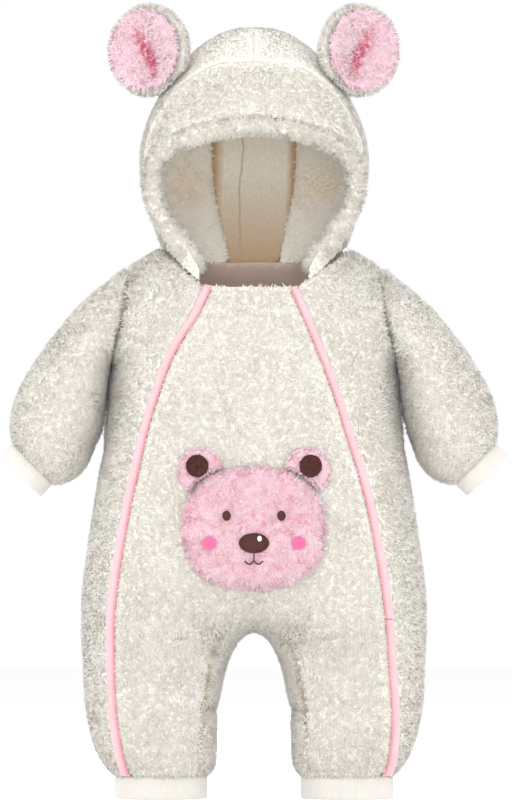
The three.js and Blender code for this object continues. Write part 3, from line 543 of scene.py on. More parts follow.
def cloth_material(name, light, dark, grain, bump, roughness=0.9, sheen=0.15):
    """Cloth with a fine grain and soft blotches of a second shade."""
    material, nodes, links, shader = new_material(name)
    place = nodes.new("ShaderNodeTexCoord")
    blotches = nodes.new("ShaderNodeTexNoise")
    blotches.inputs["Scale"].default_value = 45
    blotches.inputs["Detail"].default_value = 3
    fine = nodes.new("ShaderNodeTexNoise")
    fine.inputs["Scale"].default_value = grain
    fine.inputs["Detail"].default_value = 4
    for texture in (blotches, fine):
        links.new(place.outputs["Object"], texture.inputs["Vector"])
    tone = ramp(nodes, [(0.3, srgb(*dark)), (0.7, srgb(*light))])
    both = nodes.new("ShaderNodeMath")
    both.operation = "MULTIPLY_ADD"
    both.inputs[1].default_value = 0.5
    half = nodes.new("ShaderNodeMath")
    half.operation = "MULTIPLY"
    half.inputs[1].default_value = 0.5
    links.new(fine.outputs[0], half.inputs[0])
    links.new(blotches.outputs[0], both.inputs[0])
    links.new(half.outputs[0], both.inputs[2])
    links.new(both.outputs[0], tone.inputs[0])
    links.new(tone.outputs[0], shader.inputs["Base Color"])
    relief = nodes.new("ShaderNodeBump")
    relief.inputs["Strength"].default_value = bump
    relief.inputs["Distance"].default_value = 0.4 * MM
    links.new(fine.outputs[0], relief.inputs["Height"])
    links.new(relief.outputs[0], shader.inputs["Normal"])
    shader.inputs["Roughness"].default_value = roughness
    shader.inputs["Specular IOR Level"].default_value = 0.25
    shader.inputs["Sheen Weight"].default_value = sheen
    return material


def middle_lining_material():
    """The back of the lining: beige-grey, browner in two strips near the side walls and towards the neck,
    both painted shade.
    """
    material, nodes, links, shader = new_material("middle_lining")
    place = nodes.new("ShaderNodeTexCoord")
    parts = nodes.new("ShaderNodeSeparateXYZ")
    links.new(place.outputs["Object"], parts.inputs[0])
    wander = nodes.new("ShaderNodeTexNoise")
    wander.inputs["Scale"].default_value = 18
    links.new(place.outputs["Object"], wander.inputs["Vector"])
    shifted = nodes.new("ShaderNodeMath")
    shifted.operation = "MULTIPLY_ADD"
    shifted.inputs[1].default_value = 0.012
    links.new(wander.outputs[0], shifted.inputs[0])
    links.new(parts.outputs[0], shifted.inputs[2])
    spread = nodes.new("ShaderNodeMapRange")
    spread.inputs["From Min"].default_value = -0.06
    spread.inputs["From Max"].default_value = 0.06
    links.new(shifted.outputs[0], spread.inputs["Value"])
    grey, brown, seam = srgb(252, 244, 230), srgb(204, 170, 128), srgb(206, 186, 160)
    # Painted shade in the brown strips beside the side walls; the thin seam line is the seam's own colour
    shade_strips_and_seam = ramp(nodes, [(0.0, brown), (0.22, brown), (0.3, grey), (0.435, grey), (0.447, seam),
                          (0.46, grey), (0.82, grey), (0.88, brown)])
    links.new(spread.outputs[0], shade_strips_and_seam.inputs[0])
    height = nodes.new("ShaderNodeMapRange")
    height.inputs["From Min"].default_value = 0.0
    height.inputs["From Max"].default_value = 0.09
    links.new(parts.outputs[2], height.inputs["Value"])
    # Painted shade: browner towards the neck, deep in the hood
    lower = mixed(nodes, links, "MIX", height.outputs[0], srgb(204, 172, 134), shade_strips_and_seam.outputs[0])
    grain = nodes.new("ShaderNodeTexNoise")
    grain.inputs["Scale"].default_value = 700
    stretch = nodes.new("ShaderNodeMapping")
    stretch.inputs["Scale"].default_value = (1, 1, 0.25)
    links.new(place.outputs["Object"], stretch.inputs[0])
    links.new(stretch.outputs[0], grain.inputs["Vector"])
    speckle = ramp(nodes, [(0.3, (0.86, 0.86, 0.86, 1)), (0.7, (1, 1, 1, 1))])
    links.new(grain.outputs[0], speckle.inputs[0])
    colour = mixed(nodes, links, "MULTIPLY", 1.0, lower, speckle.outputs[0])
    links.new(colour, shader.inputs["Base Color"])
    relief = nodes.new("ShaderNodeBump")
    relief.inputs["Strength"].default_value = 0.5
    relief.inputs["Distance"].default_value = 0.5 * MM
    links.new(grain.outputs[0], relief.inputs["Height"])
    links.new(relief.outputs[0], shader.inputs["Normal"])
    shader.inputs["Roughness"].default_value = 0.95
    shader.inputs["Sheen Weight"].default_value = 0.2
    return material


# The first colour of each pile, at its root, is darker as painted shade
# The white pile's last colour is the painted shade along its seams
WHITE_PILE = pile_material("white_pile", (224, 219, 210), (236, 232, 223), (243, 240, 232), (228, 223, 214),
                           (206, 190, 166))
PINK_PILE = pile_material("pink_pile", (246, 204, 215), (252, 222, 231), (254, 234, 240), (220, 124, 142))
LINING_PILE = pile_material("lining_pile", (248, 240, 226), (254, 250, 241), (255, 253, 247), (250, 224, 194))
BROWN_PILE = pile_material("brown_pile", (48, 20, 18), (76, 36, 32), (104, 58, 50), (160, 130, 120))
BACKING = cloth_material("knit_backing", (250, 247, 240), (238, 234, 225), 900, 0.4)
PINK_BACKING = cloth_material("pink_backing", (248, 212, 222), (240, 196, 208), 900, 0.4)
LINING_CLOTH = cloth_material("lining_cloth", (254, 248, 236), (248, 238, 220), 700, 0.5)
FACING_CLOTH = cloth_material("facing_cloth", (232, 208, 196), (214, 188, 176), 900, 0.4)
RIB_KNIT = cloth_material("rib_knit", (226, 223, 216), (213, 209, 202), 1500, 0.3)
BINDING = cloth_material("binding", (242, 194, 200), (233, 177, 184), 1100, 0.5, 0.8, 0.5)
BINDING_EDGE = cloth_material("binding_edge", (234, 168, 176), (221, 148, 157), 1500, 0.5, 0.75, 0.2)
BROWN_SATIN = cloth_material("brown_satin", (84, 36, 32), (52, 20, 18), 1200, 0.4, 0.45, 0.1)
ROSE_SATIN = cloth_material("rose_satin", (240, 118, 162), (226, 92, 142), 1200, 0.4, 0.6, 0.1)
CREAM_SATIN = cloth_material("cream_satin", (250, 238, 226), (236, 220, 206), 1200, 0.3, 0.45, 0.1)
MIDDLE_LINING = middle_lining_material()


# Plush panels: the soft creases of each, from one point to another in the photo's plane
# face, x, z, x, z, width and depth, in millimetres
CREASES = [
    ("front", -136, -112, -104, -84, 9, 2.6),
    ("front", 134, -116, 96, -92, 10, 2.4),
    ("front", -152, -98, -196, -66, 11, 2.4),
    ("front", 156, -104, 190, -78, 10, 2.0),
    ("front", -158, -186, -204, -158, 12, 3.0),
    ("front", 163, -178, 212, -150, 11, 2.6),
    ("front", -186, -206, -226, -186, 7, 1.8),
    ("front", 190, -208, 230, -180, 7, 1.8),
    ("front", -150, -230, -120, -212, 9, 1.8),
    ("front", 148, -214, 122, -200, 8, 1.6),
    ("front", -58, -362, -92, -350, 10, 1.6),
    ("front", 56, -364, 84, -348, 9, 1.4),
    ("front", -52, -392, -96, -386, 9, 1.8),
    ("front", 50, -396, 92, -380, 9, 2.0),
    ("front", -44, -440, -98, -430, 10, 2.2),
    ("front", 46, -446, 104, -452, 10, 2.0),
    ("front", -110, -514, -106, -488, 5, 1.8),
    ("front", -84, -514, -88, -486, 6, 2.0),
    ("front", -58, -512, -66, -492, 5, 1.6),
    ("front", 66, -514, 62, -490, 5, 1.8),
    ("front", 96, -514, 100, -484, 6, 2.0),
    ("front", 122, -510, 120, -490, 5, 1.6),
    ("back", -130, -108, -92, -88, 10, 2.6),
    ("back", 132, -112, 98, -96, 9, 2.4),
    ("back", -98, -178, 20, -186, 12, 2.2),
    ("back", 96, -168, 30, -176, 11, 2.0),
    ("back", -62, -350, -108, -368, 12, 2.4),
    ("back", 60, -354, 100, -364, 12, 2.2),
    ("back", -46, -430, -112, -418, 10, 2.4),
    ("back", 50, -424, 118, -434, 10, 2.2),
    ("back", -92, -512, -90, -484, 6, 2.0),
    ("back", 88, -512, 92, -486, 6, 2.0),
    ("back", -160, -150, -206, -120, 11, 2.6),
    ("back", 158, -160, 208, -132, 11, 2.4),
]
SEAM_TUCK = 1.3 * MM
SEAM_TUCK_REACH = 7 * MM


def crease_depth(points, normals):
    total = np.zeros(len(points))
    flat = points[:, [0, 2]] / MM
    for face, x0, z0, x1, z1, width, depth in CREASES:
        start, end = np.array([x0, z0]), np.array([x1, z1])
        along = np.clip((flat - start) @ (end - start) / ((end - start) @ (end - start)), 0, 1)
        far = np.linalg.norm(flat - start - along[:, None] * (end - start), axis=1)
        facing = smooth(normals[:, 1] * (-1 if face == "front" else 1) + 0.5)
        uneven = 0.75 + 0.25 * noise(points, 30 * MM, 4)
        total += facing * uneven * depth * np.exp(-((far / width) ** 2))
    return total * MM


def seam_tuck(surface):
    """Each panel dips a little where it is sewn."""
    middles, _ = surface.way_out()
    _, far = nearest(tree_of(middles), surface.points)
    return SEAM_TUCK * np.exp(-((far / SEAM_TUCK_REACH) ** 2))


# Cut sizes of the plush panels: width, length and flat area, in metres and square metres
CUTS = {
    "front_panel": (0.30, 0.50, 0.098),
    "side_panel_right": (0.16, 0.52, 0.040),
    "side_panel_left": (0.16, 0.52, 0.044),
    "back_panel": (0.48, 0.56, 0.205),
    "crotch_gusset": (0.19, 0.21, 0.023),
    "sleeve_right": (0.34, 0.22, 0.047),
    "sleeve_left": (0.34, 0.22, 0.047),
    "hood_front": (0.26, 0.14, 0.0126),
    "hood_back_right": (0.24, 0.30, 0.048),
    "hood_back_left": (0.24, 0.30, 0.048),
}
BACK_SPLIT_Z = -230 * MM


UNDER_PATCH = {"z": -265 * MM, "half": (66 * MM, 56 * MM)}


def beyond_patch(points, normals):
    """Where the front isn't under the patch."""
    x = points[:, 0] / UNDER_PATCH["half"][0]
    z = (points[:, 2] - UNDER_PATCH["z"]) / UNDER_PATCH["half"][1]
    return (x * x + z * z > 1) | (normals[:, 1] > 0)


def panel_surfaces(levels):
    """The outer face of every plush panel, all but the hood's creased and dipped at their seams."""
    surfaces = {name: refined(*one_face(name, True), levels) for name in CUTS}
    match_seams(list(surfaces.values()))
    for name, surface in surfaces.items():
        if not name.startswith("hood"):
            dip = crease_depth(surface.points, surface.normals) + seam_tuck(surface)
            surface.points = surface.points - surface.normals * dip[:, None]
    return surfaces


CLOTH_LEVELS = 1
PILE_LEVELS = 2


def plush_panels():
    backings = panel_surfaces(CLOTH_LEVELS)
    styles = {"hood_front": HOOD_STYLE, "hood_back_right": CROWN_STYLE, "hood_back_left": CROWN_STYLE}
    for seed, (name, surface) in enumerate(panel_surfaces(PILE_LEVELS).items()):
        top = CROWN_PILE if name.startswith("hood_back") else PILE_ROOT
        style = {**styles.get(name, PLUSH_STYLE), "shaped": name != "hood_front"}
        wall = piece("cloth_" + name, wall_mesh(name, backings[name], top, BACKING_UNDER), BACKING,
                     [name])
        halves = {"": None}
        if name == "front_panel":
            halves = {"": beyond_patch}
        if name == "back_panel":
            halves = {"_upper": lambda p, n: p[:, 2] >= BACK_SPLIT_Z,
                      "_lower": lambda p, n: p[:, 2] < BACK_SPLIT_Z}
        for part, keep in halves.items():
            spacing = BACK_TUFT_SPACING if name == "back_panel" else TUFT_SPACING
            fur = fur_mesh("pile", surface, top, top, spacing, TUFT_RADIUS,
                           style, white_tone, seed, keep)
            piece("pile_" + name + part, fur, WHITE_PILE)


# Rim, ears and patch: stuffed pieces with pile over them
def shrunk(name, surface, by):
    return mesh_of(name, surface.points - surface.normals * by, surface.quads)


RIM_PILE = 4.8 * MM


def hood_rim():
    rough = refined(*welded("hood_rim"), CLOTH_LEVELS)
    core = piece("rim_core", shrunk("rim_core", rough, PILE_ROOT - 0.4 * MM), BACKING,
                 ["hood_rim"])
    style = {**PLUSH_STYLE, "combed": 0.1, "curled": 1.5, "lean": 36}
    surface = refined(*welded("hood_rim"), PILE_LEVELS)
    fur = fur_mesh("rim", surface, PILE_ROOT, RIM_PILE, TUFT_SPACING, TUFT_RADIUS, style,
                   white_tone, 21)
    piece("rim_pile", fur, WHITE_PILE)


EAR_MIDDLE = (104 * MM, -22 * MM, 211 * MM)
EAR_TURN = math.radians(32)
EAR_TILT = math.radians(14)
EAR_PAD_REACH = 37  # millimetres from the ear's middle
EAR_PILE = 1.3 * PILE_ROOT
EAR_CORE_SUNK = 0.6 * MM
EAR_PAD_SUNK = 2.6 * MM
EAR_PAD_ROOT = 3 * MM
EAR_PAD_PILE = 4.6 * MM
PINK_SPACING = 1.5 * MM
PINK_RADIUS = 0.95 * MM
# The fold in the pad, where the pink is painted deeper rose as shade, in millimetres: its half width and
# length, how far down it is, and its slant
EAR_FOLD = {"width": 8, "length": 26, "down": 5, "slant": 0.25}


def ear_axes(sign):
    """The ear's own axes: across it, backwards and along it."""
    turn, tilt = sign * EAR_TURN, sign * EAR_TILT
    about_z = np.array([[math.cos(turn), -math.sin(turn), 0], [math.sin(turn), math.cos(turn), 0],
                        [0, 0, 1]])
    about_y = np.array([[math.cos(tilt), 0, math.sin(tilt)], [0, 1, 0],
                        [-math.sin(tilt), 0, math.cos(tilt)]])
    return about_z @ about_y


def ear(side, sign):
    axes = ear_axes(sign)
    middle = np.array(EAR_MIDDLE) * (sign, 1, 1)
    ahead = -axes[:, 1]
    rough = refined(*welded("ear_back_" + side), CLOTH_LEVELS)

    def radial(points):
        own = (points - middle) @ axes / MM
        return np.hypot(own[:, 0], own[:, 2])

    outside = smooth((radial(rough.points) - EAR_PAD_REACH + 4) / 4)
    inwards = np.maximum(smooth(1.2 - (rough.normals @ ahead) * 2), outside)
    sunk = EAR_CORE_SUNK + inwards * (PILE_ROOT - 0.9 * MM)
    mesh = mesh_of("ear", rough.points - rough.normals * sunk[:, None], rough.quads)
    core = piece("ear_core_" + side, mesh, BACKING, ["ear_back_" + side])
    back = refined(*welded("ear_back_" + side), PILE_LEVELS)
    style = {**PLUSH_STYLE, "combed": 0.2, "lean": 36}
    fur = fur_mesh("ear", back, PILE_ROOT, EAR_PILE, TUFT_SPACING, TUFT_RADIUS, style, white_tone,
                   31 + sign, lambda p, n: (n @ ahead < 0.45) | (radial(p) > EAR_PAD_REACH))
    piece("ear_pile_" + side, fur, WHITE_PILE)
    rough = refined(*welded("ear_front_" + side), CLOTH_LEVELS)
    pad = piece("ear_pad_" + side, shrunk("pad", rough, EAR_PAD_SUNK), PINK_BACKING,
                ["ear_front_" + side])
    front = refined(*welded("ear_front_" + side), PILE_LEVELS)

    # Painted shade: the pad's pink turns deeper rose along the fold
    def rose(points, normals):
        own = (points - middle) @ axes / MM
        off = (own[:, 0] - sign * EAR_FOLD["slant"] * own[:, 2]) / EAR_FOLD["width"]
        fold_shade = np.exp(-(off**2) - ((own[:, 2] + EAR_FOLD["down"]) / EAR_FOLD["length"]) ** 2)
        return 0.86 - 0.85 * fold_shade + 0.1 * noise(points, 6 * MM, 2)

    style = {**PLUSH_STYLE, "combed": 0.3, "lean": 38, "pull": 0.4}
    short = fur_mesh("ear", front, EAR_PAD_ROOT, EAR_PAD_PILE, PINK_SPACING, PINK_RADIUS, style, rose,
                     41 + sign, lambda p, n: n @ ahead > -0.35)
    piece("ear_pad_pile_" + side, short, PINK_PILE)


def pink_tone(points, normals):
    return 0.66 + 0.1 * noise(points, 14 * MM, 1) + 0.15 * noise(points, 5 * MM, 2)


def pink_pad(node, pile, seed):
    rough = refined(*welded(node), CLOTH_LEVELS)
    sunk = np.where(rough.normals[:, 1] < 0.3, pile - 0.3 * MM, 0.2 * MM)
    mesh = mesh_of(node, rough.points - rough.normals * sunk[:, None], rough.quads)
    core = piece("pad_" + node, mesh, PINK_BACKING, [node])
    surface = refined(*welded(node), PILE_LEVELS)
    fur = fur_mesh(node, surface, pile, pile, PINK_SPACING, PINK_RADIUS, PLUSH_STYLE, pink_tone, seed,
                   lambda p, n: n[:, 1] < 0.35)
    piece("pile_" + node, fur, PINK_PILE)


def front_tree(*names):
    points, polygons = [], []
    for name in names:
        own, triangles = welded(name)
        polygons += [tuple(int(k) + len(points) for k in t) for t in triangles]
        points += [tuple(p) for p in own]
    return BVHTree.FromPolygons(points, polygons)


def front_y(tree, x, z):
    """How far forward the part reaches at a place in the photo's plane."""
    hit = tree.ray_cast(Vector((x, -1, z)), Vector((0, 1, 0)))
    return hit[0].y


BUTTON_ABOVE = 0.3
BUTTON_UNDER = 0.4 * MM


def button(name, tree, middle, half, height, material, replaces=()):
    """A domed oval that follows the front under it, closed behind. Sizes in millimetres."""
    rings, around = 8, 40
    top = front_y(tree, middle[0] * MM, middle[1] * MM) - (BUTTON_ABOVE + height) * MM
    points = [(middle[0] * MM, top, middle[1] * MM)]
    faces = []
    for k in range(1, rings + 1):
        share = k / rings
        for m in range(around):
            angle = 2 * math.pi * m / around
            x = middle[0] + half[0] * share * math.cos(angle)
            z = middle[1] + half[1] * share * math.sin(angle)
            rise = BUTTON_ABOVE + height * math.sqrt(max(0.0, 1 - share**2.6))
            points.append((x * MM, front_y(tree, x * MM, z * MM) - rise * MM, z * MM))
    count = len(points)
    points += [(x, front_y(tree, x, z) + BUTTON_UNDER, z) for x, _, z in points]
    for m in range(around):
        n = (m + 1) % around
        faces.append((0, 1 + n, 1 + m))
        faces.append((count, count + 1 + m, count + 1 + n))
        for k in range(rings - 1):
            a, b = 1 + k * around, 1 + (k + 1) * around
            faces.append((a + m, a + n, b + n, b + m))
            faces.append((count + a + m, count + b + m, count + b + n, count + a + n))
        e = 1 + (rings - 1) * around
        faces.append((e + m, e + n, count + e + n, count + e + m))
    return piece(name, mesh_of(name, points, faces), material, replaces)


def tube(path, radius, around=8):
    """Points and faces of a closed tube along a line of points."""
    path = np.array(path, float)
    along = unit(np.gradient(path, axis=0))
    ahead = np.array([0, -1.0, 0])
    first = unit(np.cross(along, ahead))
    second = np.cross(first, along)
    turns = 2 * math.pi * np.arange(around) / around
    rings = path[:, None] + radius * (first[:, None] * np.cos(turns)[:, None] +
                                      second[:, None] * np.sin(turns)[:, None])
    points = rings.reshape(-1, 3)
    faces = []
    for k in range(len(path) - 1):
        for m in range(around):
            a, n = k * around, (m + 1) % around
            faces.append((a + m, a + n, a + around + n, a + around + m))
    faces.append(tuple(range(around - 1, -1, -1)))
    faces.append(tuple(range(len(points) - around, len(points))))
    return points, faces


def joined(parts):
    """Points and faces of several closed parts as one list."""
    points, faces = [], []
    for own, polygons in parts:
        faces += [tuple(int(k) + len(points) for k in f) for f in polygons]
        points += [tuple(p) for p in own]
    return points, faces


PATCH_EYE = {"x": 27, "z": -252, "half": (4.2, 5.0)}
PATCH_CHEEK = {"x": 44, "z": -279, "half": (7.0, 6.4)}
PATCH_NOSE = {"z": -279, "half": (15, 10)}
PATCH_LIGHT = {"x": 5.5, "z": -274.5, "half": (2.2, 2.8)}
MOUTH = {"half": 9, "z": -296.5, "dip": 3.2, "stem": -289.5, "radius": 0.7 * MM, "above": 0.5 * MM}
FELT_PILE = 1.5 * MM
FELT_SPACING = 1.2 * MM
FELT_RADIUS = 0.8 * MM


def mouth(tree):
    """Two stitched bows under the nose, and the stem that joins them to it."""
    places = []
    for share in np.linspace(-1, 1, 25):
        places.append((MOUTH["half"] * share, MOUTH["z"] - MOUTH["dip"] * abs(math.sin(share * math.pi))))
    stem = [(0, z) for z in np.linspace(MOUTH["stem"], MOUTH["z"], 6)]
    tubes = []
    for line in (places, stem):
        path = [(x * MM, front_y(tree, x * MM, z * MM) - MOUTH["above"], z * MM) for x, z in line]
        tubes.append(tube(path, MOUTH["radius"]))
    piece("patch_mouth", mesh_of("mouth", *joined(tubes)), BROWN_SATIN)


def patch():
    pink_pad("patch_head", 4 * MM, 51)
    for side, sign in SIDES:
        pink_pad("patch_ear_" + side, 3.2 * MM, 52 + sign)
        rough = refined(*welded("patch_ear_inside_" + side), CLOTH_LEVELS)
        inside = refined(*welded("patch_ear_inside_" + side), PILE_LEVELS)
        core = piece("patch_ear_felt_" + side, shrunk("felt", rough, 0.2 * MM), BROWN_SATIN,
                     ["patch_ear_inside_" + side])
        style = {**PLUSH_STYLE, "lean": 40, "locks": 3 * MM}
        short = fur_mesh("felt", inside, 0.3 * MM, FELT_PILE, FELT_SPACING, FELT_RADIUS, style, pink_tone,
                         61 + sign, lambda p, n: n[:, 1] < -0.2)
        piece("patch_ear_felt_pile_" + side, short, BROWN_PILE)
    tree = front_tree("patch_head")
    for side, sign in SIDES:
        button("patch_eye_" + side, tree, (sign * PATCH_EYE["x"], PATCH_EYE["z"]),
               PATCH_EYE["half"], 1.2, BROWN_SATIN)
        button("patch_cheek_" + side, tree, (sign * PATCH_CHEEK["x"], PATCH_CHEEK["z"]),
               PATCH_CHEEK["half"], 0.7, ROSE_SATIN)
    button("patch_nose_satin", tree, (0, PATCH_NOSE["z"]), PATCH_NOSE["half"], 2.2,
           BROWN_SATIN, ["patch_nose"])
    button("patch_nose_light", front_tree("patch_nose"), (PATCH_LIGHT["x"], PATCH_LIGHT["z"]),
           PATCH_LIGHT["half"], 0.3, CREAM_SATIN)
    mouth(tree)


# Hood lining and neck facing, seen through the face opening
LINING_UNDER = 1.7 * MM
LINING_PILE_LENGTH = 2.4 * MM
LINING_SPACING = 1.8 * MM
LINING_RADIUS = 1.2 * MM


def lining():
    style = {**PLUSH_STYLE, "curled": 0.9, "combed": 0.8, "lean": 45}

    def warm(points, normals):
        x, z = abs(points[:, 0]) / MM, points[:, 2] / MM
        blush = np.exp(-(((z - 80) / 30) ** 2) - ((x - 66) / 26) ** 2)
        return 0.85 - 0.5 * blush + 0.08 * noise(points, 6 * MM, 2)

    for index, name in enumerate(["hood_lining_right", "hood_lining_middle", "hood_lining_left"]):
        smooth_cloth = "middle" in name
        mesh = wall_mesh(name, refined(*one_face(name, False), CLOTH_LEVELS), 0.0, LINING_UNDER)
        wall = piece("cloth_" + name, mesh, MIDDLE_LINING if smooth_cloth else LINING_CLOTH,
                     [name])
        if not smooth_cloth:
            surface = refined(*one_face(name, False), PILE_LEVELS)
            short = fur_mesh(name, surface, 0.2 * MM, LINING_PILE_LENGTH, LINING_SPACING, LINING_RADIUS,
                             style, warm, 71 + index)
            piece("pile_" + name, short, LINING_PILE)
    facing = refined(*one_face("neck_facing", False), CLOTH_LEVELS)
    wall = piece("cloth_neck_facing", wall_mesh("facing", facing, 0.0, LINING_UNDER), FACING_CLOTH,
                 ["neck_facing"])


# Zips: each a rounded bound edge beside a narrow gathered one
def smooth_line(points, step):
    """Points about a step apart on a smooth curve through given ones."""
    points = np.array(points, float)
    padded = np.concatenate([[2 * points[0] - points[1]], points, [2 * points[-1] - points[-2]]])
    lengths = np.linalg.norm(np.diff(points, axis=0), axis=1)
    out = []
    for k, length in enumerate(lengths):
        p0, p1, p2, p3 = padded[k : k + 4]
        for t in np.linspace(0, 1, max(int(length / step), 1), endpoint=False):
            out.append(0.5 * (2 * p1 + (p2 - p0) * t + (2 * p0 - 5 * p1 + 4 * p2 - p3) * t**2 +
                              (3 * p1 - p0 - 3 * p2 + p3) * t**3))
    out.append(points[-1])
    return np.array(out)


def zip_lines(name):
    """The two edges of a zip's outer face, from the top down: towards the middle, and away."""
    points, _ = one_face(name, True)
    points = points[np.argsort(-points[:, 2])]
    pairs = points[: len(points) // 2 * 2].reshape(-1, 2, 3)
    inner = np.array([p[np.argmin(abs(p[:, 0]))] for p in pairs])
    outer = np.array([p[np.argmax(abs(p[:, 0]))] for p in pairs])
    return inner, outer


# Across a zip, from the middle of the suit outwards: share of the width and height above the cloth
ZIP_PROFILE = [(0.0, -2.6), (0.0, -0.1), (0.06, 0.6), (0.13, 0.5), (0.18, -0.1), (0.24, 0.6), (0.34, 1.4),
               (0.48, 1.9), (0.62, 2.0), (0.76, 1.7), (0.88, 1.1), (0.96, 0.3), (1.0, -0.4), (1.0, -2.6)]
ZIP_STEP = 1.0 * MM
# The rest in millimetres: the gathers' height and period, and how long the sunk ends are and how deep
PUCKER = 0.45
PUCKER_PERIOD = 3.4
ZIP_TAPER = 7
ZIP_SUNK = 3
EDGE_STRIPS = 3  # the profile's strips, from the first, that are the narrow edge


def evenly(line, count):
    """The same line in count points."""
    places, own = np.linspace(0, 1, count), np.linspace(0, 1, len(line))
    return np.stack([np.interp(places, own, line[:, k]) for k in range(3)], axis=1)


def zip_piece(name):
    inner, outer = (smooth_line(line, ZIP_STEP) for line in zip_lines(name))
    count = min(len(inner), len(outer))
    inner, outer = evenly(inner, count), evenly(outer, count)
    along = unit(np.gradient((inner + outer) / 2, axis=0))
    across = unit(outer - inner)
    up = unit(np.cross(across, along))
    up *= np.sign((up * from_inside(name, inner)).sum(1, keepdims=True))
    distance = np.arange(count) * ZIP_STEP / MM
    top = distance if name != "zip_left_lower" else np.full(count, ZIP_TAPER)
    end = distance[-1] - distance if name != "zip_left_upper" else np.full(count, ZIP_TAPER)
    whole = smooth(np.minimum(top, end) / ZIP_TAPER)
    rings = []
    for share, height in ZIP_PROFILE:
        gathered = share < 0.2 and height > 0
        wave = PUCKER * np.sin(2 * math.pi * distance / PUCKER_PERIOD + share * 9) * gathered
        slow = 0.12 * np.sin(distance / 9.0 + share * 3) * (height > 0)
        lift = ((height + wave + slow) * whole - ZIP_SUNK * (1 - whole))[:, None] * MM
        rings.append(inner + (outer - inner) * share + up * lift)
    rings = np.stack(rings, axis=1)
    width = len(ZIP_PROFILE)
    points = rings.reshape(-1, 3)
    faces = []
    for k in range(count - 1):
        for m in range(width):
            n = (m + 1) % width
            a, b = k * width, (k + 1) * width
            faces.append((a + m, a + n, b + n, b + m))
    faces.append(tuple(range(width - 1, -1, -1)))
    faces.append(tuple(range(len(points) - width, len(points))))
    mesh = mesh_of(name, points, faces)
    piece("binding_" + name, mesh, BINDING, [name])
    mesh.materials.append(BINDING_EDGE)
    marks = np.zeros(len(faces), np.int32)
    strip = np.tile(np.arange(width), count - 1)
    marks[: len(strip)] = strip <= EDGE_STRIPS
    mesh.polygons.foreach_set("material_index", marks)
    fix_facing(mesh)


def fix_facing(mesh):
    fixed = bmesh.new()
    fixed.from_mesh(mesh)
    bmesh.ops.recalc_face_normals(fixed, faces=fixed.faces[:])
    fixed.to_mesh(mesh)
    fixed.free()


# Rib cuffs
RIB_PITCH = 2.9 * MM
RIB_RELIEF = 0.45 * MM
RIB_THICK = 2.6 * MM
# Down a cuff: share of its length and how far out from the middle of its cloth, in thicknesses
CUFF_PROFILE = [(-0.18, 0.3), (0.0, 0.42), (0.12, 0.5), (0.5, 0.56), (0.86, 0.5), (0.97, 0.36), (1.0, 0.0),
                (0.97, -0.36), (0.86, -0.5), (0.5, -0.5), (0.12, -0.5), (-0.18, -0.4)]


def cuff(name):
    points, _ = welded(name)
    middle = points.mean(0)
    _, _, axes = np.linalg.svd(points - middle)
    along = axes[2] * np.sign(axes[2] @ np.array([np.sign(middle[0]) * 0.2, 0, -1.0]))
    depth = np.array([0, 1.0, 0])
    across = unit(np.cross(along, depth))
    flat = points - middle
    length = np.ptp(flat @ along)
    half = abs(flat @ across).max(), abs(flat @ depth).max()
    perimeter = math.pi * (half[0] + half[1])
    ribs = round(perimeter / RIB_PITCH)
    around = ribs * 4
    turns = 2 * math.pi * np.arange(around) / around
    ribbing = RIB_RELIEF * (np.abs(np.cos(turns * ribs / 2)) - 0.6)
    rings = []
    for share, out in CUFF_PROFILE:
        grow = -RIB_THICK / 2 + out * RIB_THICK + ribbing * (1 if out > -0.4 else 0.5)
        wave = 0.35 * MM * np.sin(turns * 5 + share * 2) * share
        reach_x, reach_y = half[0] + grow + wave, half[1] + grow + wave
        place = middle + along * (share - 0.5) * length
        rings.append(place + across * (reach_x * np.cos(turns))[:, None] +
                     depth * (reach_y * np.sin(turns))[:, None])
    count = len(rings)
    points = np.concatenate(rings)
    m = np.arange(around)
    n = (m + 1) % around
    faces = []
    for k in range(count):
        a, b = k * around, (k + 1) % count * around
        faces.append(np.stack([a + m, a + n, b + n, b + m], axis=1))
    mesh = mesh_of(name, points, np.concatenate(faces))
    fix_facing(mesh)
    made = piece("rib_" + name, mesh, RIB_KNIT, [name])


def cuffs():
    for side, _ in SIDES:
        cuff("leg_cuff_" + side)
        cuff("sleeve_cuff_" + side)


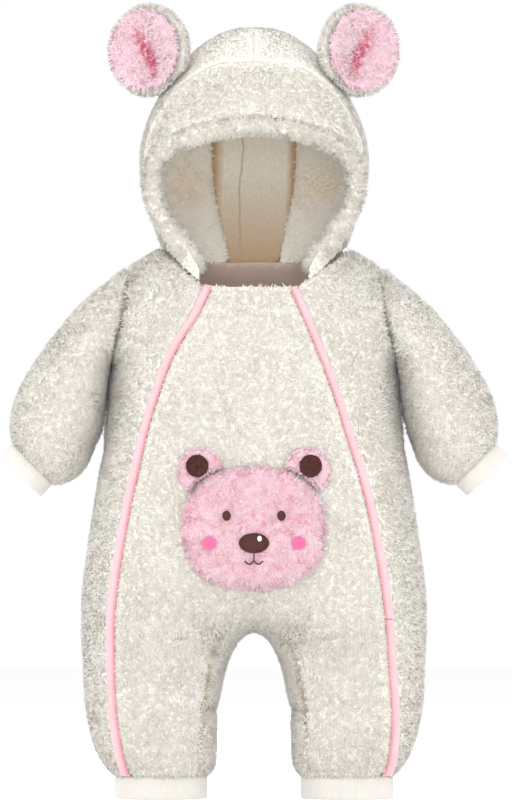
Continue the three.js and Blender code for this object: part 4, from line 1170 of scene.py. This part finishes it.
# Stage. Each light: its place, size and power
LIGHTS = {
    "key": ((-1.0, -3.3, 1.5), 1.6, 13),
    "front": ((0.2, -3.4, -0.1), 1.2, 24),
    "top": ((-0.4, -0.6, 2.8), 1.6, 16),
    "side_right": ((-2.8, -0.8, 0.2), 1.6, 12),
    "side_left": ((2.8, -1.2, 0.2), 1.6, 12),
    "back": ((0.6, 2.6, 1.0), 2.0, 38),
}
LIT_POINT = (0, 0, -0.15)


def stage():
    bpy.ops.mesh.primitive_plane_add(size=8, location=(0, 1.0, FLOOR_Z))
    floor = bpy.context.object
    floor.name = "floor"
    material, _, _, shader = new_material("floor")
    shader.inputs["Base Color"].default_value = (0.95, 0.95, 0.95, 1)
    shader.inputs["Roughness"].default_value = 0.8
    floor.data.materials.append(material)
    world = bpy.context.scene.world or bpy.data.worlds.new("world")
    bpy.context.scene.world = world
    world.use_nodes = True
    world.node_tree.nodes["Background"].inputs[0].default_value = (1, 1, 1, 1)
    world.node_tree.nodes["Background"].inputs[1].default_value = 1.0
    for name, (place, size, power) in LIGHTS.items():
        light = bpy.data.lights.new(name, "AREA")
        light.size = size
        light.energy = power
        lamp = bpy.data.objects.new(name, light)
        bpy.context.scene.collection.objects.link(lamp)
        lamp.location = place
        lamp.rotation_euler = (Vector(LIT_POINT) - Vector(place)).to_track_quat("-Z", "Y").to_euler()


def camera():
    lens = bpy.data.cameras.new("camera")
    lens.sensor_fit = "VERTICAL"
    lens.angle = 2 * math.atan(VIEW_HEIGHT / 2 / CAMERA_AWAY)
    holder = bpy.data.objects.new("camera", lens)
    bpy.context.scene.collection.objects.link(holder)
    holder.location = (VIEW_CENTRE[0], -CAMERA_AWAY, VIEW_CENTRE[1])
    holder.rotation_euler = (math.pi / 2, 0, 0)
    bpy.context.scene.camera = holder
    bpy.context.scene.view_settings.view_transform = "Standard"


camera()
stage()
plush_panels()
hood_rim()
for side, sign in SIDES:
    ear(side, sign)
patch()
lining()
for zip_name in ("zip_right", "zip_left_upper", "zip_left_lower"):
    zip_piece(zip_name)
cuffs()
